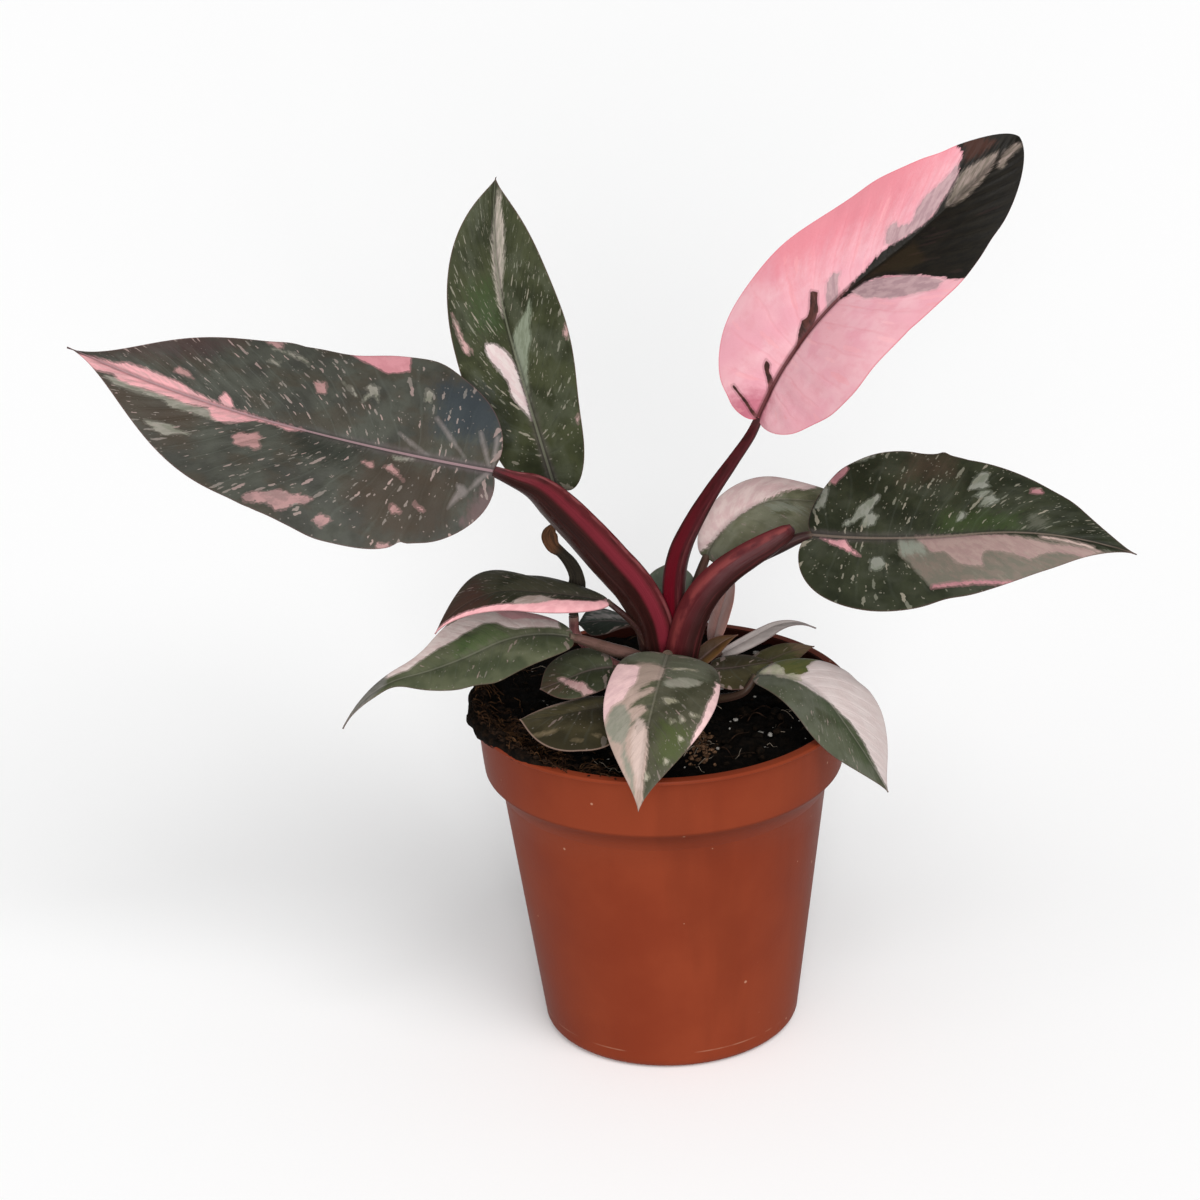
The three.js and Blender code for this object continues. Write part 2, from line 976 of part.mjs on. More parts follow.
// The height of the soil's surface: rough, and heaped against the wall on the left.
function soilHeight(x, y) {
  const heap = soil.rise * Math.max(0, -x / pot.collarTop) ** 2;
  const broad = Math.sin(0.31 * x + 0.23 * y) + Math.sin(0.47 * y - 0.19 * x + 1);
  const crumbs = broad + Math.sin(0.83 * x + 2) * 0.5;
  return soil.level + heap + (soil.dip * crumbs) / 2.5;
}

function soilSolid() {
  const wall = innerProfile(clearance);
  const [rim, shoulder] = wall;
  const edge = rim[0] - ((rim[0] - shoulder[0]) * (pot.height - soil.level)) / (rim[1] - shoulder[1]);
  const profile = [[0, wall.at(-1)[1]], ...wall.slice(1).reverse()];
  for (let i = 0; i <= soil.rings; i++) profile.push([edge * (1 - i / soil.rings), soil.level]);
  const lathe = new THREE.LatheGeometry(
    profile.map(([r, z]) => new THREE.Vector2(r, z)),
    pot.segments,
  ).rotateX(Math.PI / 2);
  const position = lathe.attributes.position;
  for (let i = 0; i < position.count; i++) {
    if (position.getZ(i) > soil.level - 0.01) {
      position.setZ(i, soilHeight(position.getX(i), position.getY(i)));
    }
  }
  const hole = new THREE.CylinderGeometry(stem.radius + 0.5, stem.radius + 0.5, 40, 20).rotateX(Math.PI / 2);
  hole.translate(3, 0, soil.level - stem.sink - clearance + 20);
  return largestBody(solidOf(lathe).subtract(solidOf(hole)));
}

// ---- the plant in its pot ----

const plant = new THREE.Group();
plant.add(meshOf("pot", potSolid(), { color: 0x9c4a2e, roughness: 0.55, metalness: 0 }));
plant.add(meshOf("soil", soilSolid(), { color: 0x1f1712, roughness: 0.95, metalness: 0 }));
plant.add(meshOf("stem_and_petioles", stemSolid(), { color: 0x5a1a26, roughness: 0.45, metalness: 0 }));
plant.add(meshOf("dry_stalk", petioleGeometry(dryStalk), { color: 0x5b3a26, roughness: 0.9, metalness: 0 }));
for (const [name, blade] of Object.entries(blades)) {
  plant.add(meshOf(name, bladeGeometry(blade), { color: blade.color, roughness: 0.4, metalness: 0 }));
}

export default plant;
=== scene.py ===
# A pink princess philodendron growing in a plastic nursery pot.
# The dictionaries are in millimetres and degrees, and the scene is in metres. The origin is the
# middle of the pot's underside, with +Z up.
import math
import random

import bpy
import numpy as np
from mathutils import Matrix, Vector, noise


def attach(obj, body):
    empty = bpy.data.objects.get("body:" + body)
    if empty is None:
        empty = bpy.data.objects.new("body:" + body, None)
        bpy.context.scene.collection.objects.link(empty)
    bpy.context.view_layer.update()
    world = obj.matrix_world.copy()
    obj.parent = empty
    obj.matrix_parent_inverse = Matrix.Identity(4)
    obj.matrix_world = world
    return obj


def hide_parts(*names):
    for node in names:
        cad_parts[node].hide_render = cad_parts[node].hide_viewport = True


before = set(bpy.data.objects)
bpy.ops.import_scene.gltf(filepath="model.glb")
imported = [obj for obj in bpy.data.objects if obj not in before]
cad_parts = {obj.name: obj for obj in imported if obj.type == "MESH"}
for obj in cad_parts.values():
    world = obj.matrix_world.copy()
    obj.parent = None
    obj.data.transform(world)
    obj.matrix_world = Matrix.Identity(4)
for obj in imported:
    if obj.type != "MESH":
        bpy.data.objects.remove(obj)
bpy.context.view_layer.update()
mm = 0.001
random.seed(7)


# Handling pieces

def pick(piece):
    bpy.ops.object.select_all(action="DESELECT")
    piece.select_set(True)
    bpy.context.view_layer.objects.active = piece


def addGrid(name, along, across):  # a flat sheet, 1 by 1, to be laid out by its own places
    bpy.ops.object.select_all(action="DESELECT")
    bpy.ops.mesh.primitive_grid_add(x_subdivisions=along, y_subdivisions=across, size=1)
    piece = bpy.context.object
    piece.name = piece.data.name = name
    return piece


def applyModifier(piece, kind, **settings):
    pick(piece)
    modifier = piece.modifiers.new(kind.title(), kind)
    for key, value in settings.items():
        setattr(modifier, key, value)
    bpy.ops.object.modifier_apply(modifier=modifier.name)


def placesOf(piece):
    found = np.empty(len(piece.data.vertices) * 3)
    piece.data.vertices.foreach_get("co", found)
    return found.reshape(-1, 3)


def layOut(piece, points):  # moves every vertex to its place in millimetres
    piece.data.vertices.foreach_set("co", (points * mm).ravel())
    piece.data.update()


def mark(piece, name, values, kind="FLOAT", domain="POINT"):
    layer = piece.data.attributes.new(name, kind, domain)
    layer.data.foreach_set("value" if kind == "FLOAT" else "vector", np.asarray(values, float).ravel())


def closeUp(piece, fill=False):  # welds what meets, and turns the faces outwards
    pick(piece)
    bpy.ops.object.mode_set(mode="EDIT")
    bpy.ops.mesh.select_all(action="SELECT")
    bpy.ops.mesh.remove_doubles(threshold=0.002 * mm)
    if fill:
        bpy.ops.mesh.select_all(action="SELECT")
        bpy.ops.mesh.fill_holes(sides=0)
        bpy.ops.mesh.select_all(action="SELECT")
    bpy.ops.mesh.normals_make_consistent(inside=False)
    bpy.ops.object.mode_set(mode="OBJECT")


def handOver(piece, material, nodes, angle=55):
    pick(piece)
    bpy.ops.object.shade_smooth_by_angle(angle=math.radians(angle))
    piece.data.materials.clear()
    piece.data.materials.append(material)
    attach(piece, "root")
    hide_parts(*nodes)


def joinAll(pieces, name):
    pick(pieces[0])
    for piece in pieces:
        piece.select_set(True)
    bpy.ops.object.join()
    joined = bpy.context.object
    joined.name = joined.data.name = name
    return joined


# Curves

def ramp(stations, t):  # the value at t, from 0 to 1, of evenly spaced stations
    return np.interp(np.clip(t, 0, 1) * (len(stations) - 1), np.arange(len(stations)), stations)


def bezier(a, b, c, d, t):
    s = 1 - t
    return a * s**3 + 3 * b * s * s * t + 3 * c * s * t * t + d * t**3


def smoothRoute(stations, t):  # a smooth curve through the stations, with its direction
    stations = np.asarray(stations, float)
    ends = np.vstack([2 * stations[0] - stations[1], stations, 2 * stations[-1] - stations[-2]])
    at = np.clip(t, 0, 1) * (len(stations) - 1)
    i = np.minimum(at.astype(int), len(stations) - 2)
    s = (at - i)[:, None]
    a, b, c, d = (ends[i + k] for k in range(4))
    leave, arrive = (c - a) / 2, (d - b) / 2
    place = (2 * s**3 - 3 * s**2 + 1) * b + (s**3 - 2 * s**2 + s) * leave
    place += (3 * s**2 - 2 * s**3) * c + (s**3 - s**2) * arrive
    ahead = (6 * s**2 - 6 * s) * (b - c) + (3 * s**2 - 4 * s + 1) * leave + (3 * s**2 - 2 * s) * arrive
    return place, ahead


def unit(vectors):
    return vectors / np.linalg.norm(vectors, axis=-1, keepdims=True)


def polar(radius, angle, x=0, y=0):  # the place that far from (x, y), in that direction
    return x + radius * math.cos(angle), y + radius * math.sin(angle)


# Materials. Each helper adds its nodes to the material being made.

def colour(code):  # "8a3b52" as the colour that a socket takes
    parts = [int(code[i : i + 2], 16) / 255 for i in (0, 2, 4)]
    return tuple(p / 12.92 if p <= 0.04045 else ((p + 0.055) / 1.055) ** 2.4 for p in parts) + (1,)


def newMaterial(name, roughness, shine):
    global tree, shader
    material = bpy.data.materials.new(name)
    material.use_nodes = True
    tree = material.node_tree
    shader = tree.nodes["Principled BSDF"]
    shader.inputs["Roughness"].default_value = roughness
    shader.inputs["Specular IOR Level"].default_value = shine
    return material


def addNode(kind, inputs=None, **settings):
    made = tree.nodes.new(kind)
    for key, value in settings.items():
        setattr(made, key, value)
    for key, value in (inputs or {}).items():
        if isinstance(value, bpy.types.NodeSocket):
            tree.links.new(value, made.inputs[key])
        else:
            made.inputs[key].default_value = value
    return made


def mix(share, first, second):
    first, second = (colour(c) if isinstance(c, str) else c for c in (first, second))
    return addNode("ShaderNodeMix", {0: share, 6: first, 7: second}, data_type="RGBA").outputs[2]


def calc(operation, *values):
    return addNode("ShaderNodeMath", dict(enumerate(values)), operation=operation).outputs[0]


def times(first, *others):
    for other in others:
        first = calc("MULTIPLY", first, other)
    return first


def between(value, low, high):  # 0 at low, 1 at high, with soft ends
    inputs = {0: value, 1: low, 2: high}
    return addNode("ShaderNodeMapRange", inputs, interpolation_type="SMOOTHSTEP").outputs[0]


def straight(value, low, high, first, last):  # first at low, last at high
    return addNode("ShaderNodeMapRange", {0: value, 1: low, 2: high, 3: first, 4: last}).outputs[0]


def stretch(vector, *scale):
    return addNode("ShaderNodeVectorMath", {0: vector, 1: scale}, operation="MULTIPLY").outputs[0]


def grain(vector, scale, detail=3, roughness=0.55):
    inputs = {"Vector": vector, "Scale": scale, "Detail": detail, "Roughness": roughness}
    return addNode("ShaderNodeTexNoise", inputs).outputs["Fac"]


def split(vector):
    return addNode("ShaderNodeSeparateXYZ", {0: vector}).outputs


def chances(cells):  # three random numbers for each cell
    return addNode("ShaderNodeSeparateColor", {0: cells.outputs["Color"]}).outputs


def reading(name, output="Fac"):
    return addNode("ShaderNodeAttribute", attribute_name=name).outputs[output]


def objectSpot():
    return addNode("ShaderNodeTexCoord").outputs["Object"]


def paint(shade, rough, height, depth, strength):  # with the depth of the relief in millimetres
    bump = addNode("ShaderNodeBump", {"Height": height, "Distance": depth * mm, "Strength": strength})
    tree.links.new(shade, shader.inputs["Base Color"])
    tree.links.new(rough, shader.inputs["Roughness"])
    tree.links.new(bump.outputs[0], shader.inputs["Normal"])


# Camera, light and floor

studio = {
    "target": (-18.1, 0, 144.3),
    "distance": 1300,
    "elevation": 23.4,
    "roll": -2.28,
    "lens": 125.85,
    "dome": 0.39,
    "floorSize": 12000,
    "paper": ("f8f8f8", "fafafa"),
    "keys": {  # a soft sun: how far round from the camera's side, how high, power, softness
        "Key": (0, 14, 2.6, 20),
        "FillRight": (25, 50, 1.6, 40),
        "FillLeft": (-38, 52, 0.27, 44),
    },
}


def makeStudio():
    camera = bpy.data.objects.new("Camera", bpy.data.cameras.new("Camera"))
    bpy.context.scene.collection.objects.link(camera)
    elevation = math.radians(studio["elevation"])
    back = Vector((0, -math.cos(elevation), math.sin(elevation)))
    turn = Matrix.Rotation(math.radians(90) - elevation, 4, "X")
    turn = turn @ Matrix.Rotation(math.radians(studio["roll"]), 4, "Z")
    place = (Vector(studio["target"]) + back * studio["distance"]) * mm
    camera.matrix_world = Matrix.Translation(place) @ turn
    camera.data.lens = studio["lens"]
    camera.data.sensor_width = 36
    camera.data.clip_start = 0.05
    bpy.context.scene.camera = camera
    bpy.context.scene.view_settings.view_transform = "Standard"

    world = bpy.data.worlds.new("Dome")
    world.use_nodes = True
    sky = world.node_tree.nodes["Background"]
    sky.inputs["Color"].default_value = (1, 1, 1, 1)
    sky.inputs["Strength"].default_value = studio["dome"]
    bpy.context.scene.world = world

    for name, (side, height, power, softness) in studio["keys"].items():
        light = bpy.data.lights.new(name, "SUN")
        light.energy = power
        light.angle = math.radians(softness)
        lamp = bpy.data.objects.new(name, light)
        lamp.rotation_euler = (math.radians(90 - height), 0, math.radians(side))
        bpy.context.scene.collection.objects.link(lamp)

    bpy.ops.object.select_all(action="DESELECT")
    bpy.ops.mesh.primitive_plane_add(size=studio["floorSize"] * mm)
    floor = bpy.context.object
    floor.name = "Floor"
    floor.data.materials.append(newMaterial("FloorPaper", 0.9, 0.1))
    tree.links.new(mix(grain(objectSpot(), 900), *studio["paper"]), shader.inputs["Base Color"])


makeStudio()
print("studio ready")


# Leaf blades

bladeForm = {  # what all blades share
    "lobeEnd": 0.42,  # the share of the outline, from the base, that runs up to the widest place
    "veinLead": 1.75,  # how close the side veins leave the midrib near the base
    "veinBow": 1.3,  # how they bow towards the tip
    "grooveWidth": 1.1,
    "thinning": 0.55,  # of the margin
}


def directions(leaf, t):  # along the midrib, to the blade's left and out of its upper face
    heading, pitch, roll = (np.radians(ramp(leaf[key], t)) for key in ("heading", "pitch", "roll"))
    flat = np.cos(pitch)
    along = np.stack([flat * np.cos(heading), flat * np.sin(heading), np.sin(pitch)], -1)
    level = np.stack([-np.sin(heading), np.cos(heading), 0 * heading], -1)
    rise = np.cross(along, level)
    roll = roll[:, None]
    return along, level * np.cos(roll) + rise * np.sin(roll), rise * np.cos(roll) - level * np.sin(roll)


def midribAt(leaf, t):
    steps = 48
    along, _, _ = directions(leaf, (np.arange(steps) + 0.5) / steps)
    spots = np.vstack([[0, 0, 0], np.cumsum(along, 0)]) * leaf["length"] / steps + leaf["base"]
    inside = np.clip(t, 0, 1)
    along, left, up = directions(leaf, inside)
    step = np.arange(steps + 1)
    point = np.stack([np.interp(inside * steps, step, spots[:, k]) for k in range(3)], -1)
    return point + along * ((t - inside) * leaf["length"])[:, None], left, up


def outlineAt(leaf, q):  # place along the length, and share of the half width, from base to tip
    wide, end = leaf["widest"], bladeForm["lobeEnd"]
    t = np.clip(q / end, 0, 1)
    back = bezier(0, -leaf["lobe"], wide - 0.28, wide, t), bezier(0, leaf["lobeSpread"], 1, 1, t)
    t = np.clip((q - end) / (1 - end), 0, 1)
    reach = bezier(wide, wide + leaf["shoulder"], 1 - leaf["drip"], 1, t)
    share = bezier(1, 1, leaf["dripSpread"], 0, t)
    return np.where(q < end, back[0], reach), np.where(q < end, back[1], share)


def reachInside(points, outline):  # distance to the outline, positive inside it
    corners = np.asarray(outline, float)
    nearest = np.full(len(points), 1e9)
    inside = np.zeros(len(points), bool)
    for a, b in zip(corners, np.roll(corners, -1, 0)):
        along, offset = b - a, points - a
        share = np.clip(offset @ along / (along @ along), 0, 1)
        nearest = np.minimum(nearest, np.linalg.norm(offset - share[:, None] * along, axis=1))
        crosses = (a[1] > points[:, 1]) != (b[1] > points[:, 1])
        slope = (b[0] - a[0]) / (b[1] - a[1] + 1e-12)
        inside ^= crosses & (points[:, 0] < a[0] + slope * (points[:, 1] - a[1]))
    return np.where(inside, nearest, -nearest)


def halfWidth(leaf, side, reach):  # the blade's own, less the dents in that margin
    width = np.where(side > 0, leaf["left"], leaf["right"]) + 0 * reach
    for dentSide, at, spread, depth in leaf["dents"]:
        dent = depth * np.exp(-(((reach * leaf["length"] - at) / spread) ** 2))
        width -= np.where(side == dentSide, dent, 0)
    return width


def marginOf(leaf):  # the blade's outline laid flat, in millimetres
    reach, share = outlineAt(leaf, np.linspace(0, 1, 90))
    left = np.column_stack([reach * leaf["length"], share * halfWidth(leaf, 1, reach)])
    right = np.column_stack([reach * leaf["length"], -share * halfWidth(leaf, -1, reach)])
    return np.vstack([left, right[-2:0:-1]])


def leafSheet(name, leaf):
    sheet = addGrid(name, leaf["rows"], leaf["columns"])
    applyModifier(sheet, "SOLIDIFY", thickness=0.1, offset=-1)
    spots = placesOf(sheet)
    q, v, under = spots[:, 0] + 0.5, spots[:, 1] * 2, spots[:, 2] < -0.01
    side, w = np.where(v < 0, -1, 1), np.abs(v)
    start = q ** bladeForm["veinLead"]  # where the side vein leaves the midrib
    reach, share = outlineAt(leaf, q)
    x = start + (reach - start) * w ** bladeForm["veinBow"]
    across = share * halfWidth(leaf, side, reach) * w
    wave = leaf["wave"]
    turns = 2 * math.pi * wave["count"] * x + math.radians(wave["phase"]) + np.where(v < 0, 1.7, 0)
    lift = wave["height"] * w * w * np.sin(turns)

    # fine relief: the groove over the midrib, and the blade puffed up between its side veins
    inside = np.clip(x, 0, 1)
    groove = leaf["groove"] * np.exp(-((across / bladeForm["grooveWidth"]) ** 2)) * (1 - 0.7 * inside)
    pillow = np.sin(math.pi * start * leaf["length"] / leaf["veinGap"]) ** 2 * 4 * w * (1 - w)
    lift += leaf["pillow"] * pillow

    point, left, up = midribAt(leaf, x)
    slope = np.radians(leaf["fold"] + 0.5 * leaf["curl"] * w)
    turn = np.radians(leaf["fold"] + leaf["curl"] * w) * np.clip(w * 12, 0, 1)
    point += left * (side * across * np.cos(slope))[:, None]
    point += up * (across * np.sin(slope) + lift)[:, None]
    outward = up * np.cos(turn)[:, None] - left * (side * np.sin(turn))[:, None]
    half = leaf["thickness"] / 2 * (1 - bladeForm["thinning"] * w**8)
    rib = leaf["keel"] * (1 - 0.8 * inside) * np.exp(-(across**2))
    layOut(sheet, point + outward * np.where(under, -half - rib, half - groove)[:, None])

    flat = np.stack([x * leaf["length"], side * across], -1)
    mark(sheet, "flat", np.column_stack([flat, 0 * q]), "FLOAT_VECTOR")
    mark(sheet, "rim", reachInside(flat, marginOf(leaf)))
    mark(sheet, "under", under)
    for key, area in leaf["marks"].items():
        mark(sheet, key, np.max([reachInside(flat, outline) for outline in area["outlines"]], 0))

    # places along the side veins, kept apart for the two halves
    run = np.hypot((x - start) * leaf["length"], across)
    corners = np.empty(len(sheet.data.loops), int)
    sheet.data.loops.foreach_get("vertex_index", corners)
    faceV = [np.full(face.loop_total, np.mean(v[list(face.vertices)])) for face in sheet.data.polygons]
    shift = np.where(np.concatenate(faceV) < 0, 300, 0)
    veins = np.column_stack([(start * leaf["length"])[corners] + shift, run[corners], 0 * shift])
    mark(sheet, "vein", veins, "FLOAT_VECTOR", "CORNER")
    closeUp(sheet)
    return sheet


def leafFinish(name, leaf):
    look = leaf["look"]
    material = newMaterial(name, 0.4, look["shine"])
    flat, vein = reading("flat", "Vector"), reading("vein", "Vector")
    under, rim = reading("under"), reading("rim")
    alongRib, acrossRib, _ = split(flat)
    fromRib = calc("ABSOLUTE", acrossRib)

    # the ground: broad clouds, soft blotches along the side veins, and the veins themselves
    cloud = grain(flat, 0.075, 3, 0.5)
    bronze = grain(stretch(flat, 0.055, 0.1, 1), 1, 3)
    blotch = grain(stretch(vein, 0.4, 0.2, 1), 1, 3, 0.6)
    finger = grain(stretch(vein, 0.6, 0.15, 1), 1, 2)
    fine = grain(stretch(vein, 1.4, 0.8, 1), 1, 2)
    shade = mix(between(cloud, 0.38, 0.62), look["dark"], look["light"])
    shade = mix(times(between(bronze, 0.48, 0.62), 0.6), shade, look["tint"])
    shade = mix(times(between(blotch, 0.48, 0.68), look["deepShare"]), shade, look["deep"])
    wander = calc("MULTIPLY_ADD", grain(flat, 0.1, 1), 2.5, split(vein)[0])
    veinLine = between(calc("PINGPONG", wander, leaf["veinGap"] / 2), 0.5, 0.05)
    veinLine = times(veinLine, between(rim, 0.5, 6))  # fades out towards the margin
    shade = mix(times(veinLine, look["veinShare"]), shade, look["vein"])

    # the marks, ragged along the side veins, with a fainter fringe round the patches without green
    edge = calc("MULTIPLY_ADD", finger, 6, calc("MULTIPLY_ADD", fine, 3.4, -4.7))
    covered = 0
    for key, area in leaf["marks"].items():
        reach = calc("MULTIPLY_ADD", edge, area["ragged"], reading(key))
        share = between(reach, -area["soft"], area["soft"])
        if "tint" not in area:
            fringe = between(reach, -0.75, -0.4)
            share = calc("MULTIPLY_ADD", share, 0.7, times(fringe, 0.3))
        share = times(share, area["strength"])
        shade = mix(share, shade, mix(between(blotch, 0.4, 0.6), *area["colours"]))
        if "tint" not in area:
            covered = calc("MAXIMUM", covered, share)

    # dashes and dots along the side veins
    crowd = between(grain(flat, 0.09, 2), 0.4, 0.6)
    free = calc("MULTIPLY_ADD", covered, -look["bare"], 1)
    ruffle = addNode("ShaderNodeTexNoise", {"Vector": vein, "Scale": 0.8, "Detail": 1}).outputs["Color"]
    ruffle = {0: ruffle, 1: (0.7, 2, 0), 2: vein}
    ruffled = addNode("ShaderNodeVectorMath", ruffle, operation="MULTIPLY_ADD").outputs[0]
    for dash in look["dashes"]:
        spread = stretch(ruffled, dash["across"], dash["along"], 1)
        cells = addNode("ShaderNodeTexVoronoi", {"Vector": spread, "Scale": 1}, voronoi_dimensions="2D")
        chance, tone, weight = chances(cells)
        room = calc("MULTIPLY_ADD", crowd, dash["share"] * 0.8, dash["share"] * 0.4)
        present = calc("GREATER_THAN", calc("ADD", chance, room), 1)
        size = calc("MULTIPLY_ADD", weight, dash["size"] * 0.55, dash["size"] * 0.45)
        blob = between(calc("SUBTRACT", size, cells.outputs["Distance"]), -0.02, 0.05)
        share = times(blob, present, dash["strength"], calc("MULTIPLY_ADD", tone, 0.5, 0.5))
        share = times(share, between(fromRib, 0.6, 1.6), free)
        shade = mix(share, shade, mix(tone, dash["colour"], dash["second"]))

    # midrib with its soft border and painted shade in the crease beside it, and the thin margin
    halo = look["halo"]
    border = between(calc("MULTIPLY_ADD", edge, 0.3, fromRib), halo["width"], 0.2)
    border = times(border, between(alongRib, leaf["length"] * halo["reach"], 0), halo["share"])
    shade = mix(border, shade, halo["colour"])
    beside = calc("SUBTRACT", fromRib, straight(alongRib, 0, leaf["length"], *look["rib"]))
    shade = mix(times(between(beside, 0.9, 0.2), look["creaseShadeShare"]), shade, look["creaseShade"])
    clear = 1
    if "hides" in look:  # a patch that hides the midrib and the margin's line
        clear = between(reading(look["hides"]), 0.5, -0.5)
    ribLine = times(between(beside, 0.1, -0.1), clear, look["ribShare"])
    shade = mix(ribLine, shade, look["ribColour"])
    rimLine = between(rim, look["rimWidth"] + 0.15, look["rimWidth"] - 0.15)
    shade = mix(times(rimLine, clear, look["rimShare"]), shade, look["rimColour"])

    # the duller, redder underside
    shade = mix(under, shade, mix(look["underShare"], shade, look["under"]))
    rough = calc("MULTIPLY_ADD", under, 0.15, straight(blotch, 0.3, 0.7, 0.4, 0.54))
    height = calc("MULTIPLY_ADD", veinLine, -0.25, times(finger, 0.5))
    paint(shade, rough, calc("MULTIPLY_ADD", grain(flat, 1.3), 0.5, height), 0.3, 0.5)
    return material


# Each blade: its midrib from the base, by heading, pitch and roll at even stations, its flat outline,
# how its halves fold up and curl down, and dents in the left (1) or right (-1) margin, each with its
# place along the midrib, spread and depth. Marks are outlines on the flat blade, from its base.
largeLeaf = {
    "slot": "dark_blade", "thickness": 0.6, "keel": 1, "groove": 0.4, "pillow": 0.25, "veinGap": 6.5,
    "curl": -20, "wave": {"height": 0, "count": 1, "phase": 0}, "dents": [],
}
smallLeaf = {
    **largeLeaf, "thickness": 0.5, "keel": 0.4, "groove": 0.2, "pillow": 0.1, "veinGap": 4.2,
    "lobe": 0.08, "lobeSpread": 0.6, "drip": 0.11, "dripSpread": 0.12, "fold": 10, "curl": -25,
}
darkLook = {
    "shine": 0.1,
    "dark": "31342e", "light": "43463e", "deep": "202119", "deepShare": 0.35, "tint": "42392c",
    "vein": "565a53", "veinShare": 0.15,
    "rib": (0.42, 0.16),  # half widths at the base and the tip
    # the crease colour is painted shade beside the midrib
    "ribColour": "8a7074", "ribShare": 0.75, "creaseShade": "1c1a16", "creaseShadeShare": 0.45,
    "halo": {"width": 2.8, "reach": 0.6, "share": 0.65, "colour": "675b5e"},
    "rimWidth": 0.25, "rimColour": "5c3f3c", "rimShare": 0.4,
    "under": "3c2224", "underShare": 0.75,
    "bare": 0.8,  # how far the pale patches are free of dashes
    "dashes": [
        {"across": 0.62, "along": 0.13, "share": 0.1, "size": 0.36, "strength": 0.85,
            "colour": "817b74", "second": "8a7571"},
        {"across": 0.95, "along": 0.25, "share": 0.13, "size": 0.36, "strength": 0.8,
            "colour": "87817a", "second": "957f79"},
        {"across": 1.7, "along": 1, "share": 0.1, "size": 0.36, "strength": 0.6,
            "colour": "8c8881", "second": "8c7c76"},
    ],
}
greenLook = {  # greyer dashes and a duller midrib
    **darkLook, "veinShare": 0.06, "ribColour": "6c5f55", "ribShare": 0.6,
    "halo": {**darkLook["halo"], "share": 0.3},
    "dashes": [{**dash, "colour": "77786a", "second": "817a6c"} for dash in darkLook["dashes"]],
}
smallLook = {
    **darkLook, "deepShare": 0.15, "veinShare": 0.1, "ribShare": 0.12, "creaseShadeShare": 0.15,
    "halo": {**darkLook["halo"], "share": 0.1},
    "dashes": [{**dash, "share": dash["share"] * 0.7, "strength": 0.5} for dash in darkLook["dashes"]],
}
plainLook = {**smallLook, "veinShare": 0, "ribShare": 0, "creaseShadeShare": 0, "dashes": []}


def patch(first, second, ragged, *outlines, soft=0.14, strength=1):  # without green, in two tones
    area = {"colours": (first, second), "ragged": ragged, "outlines": outlines}
    return {**area, "soft": soft, "strength": strength}


def tint(tone, soft, strength, ragged, *outlines):  # only the ground changes colour
    return {**patch(tone, tone, ragged, *outlines, soft=soft, strength=strength), "tint": True}


def growLeaf(name, leaf):
    sheet = leafSheet(name, leaf)
    handOver(sheet, leafFinish(name + "Skin", leaf), [leaf["node"]])
    print("leaf", name, len(sheet.data.polygons), "faces")


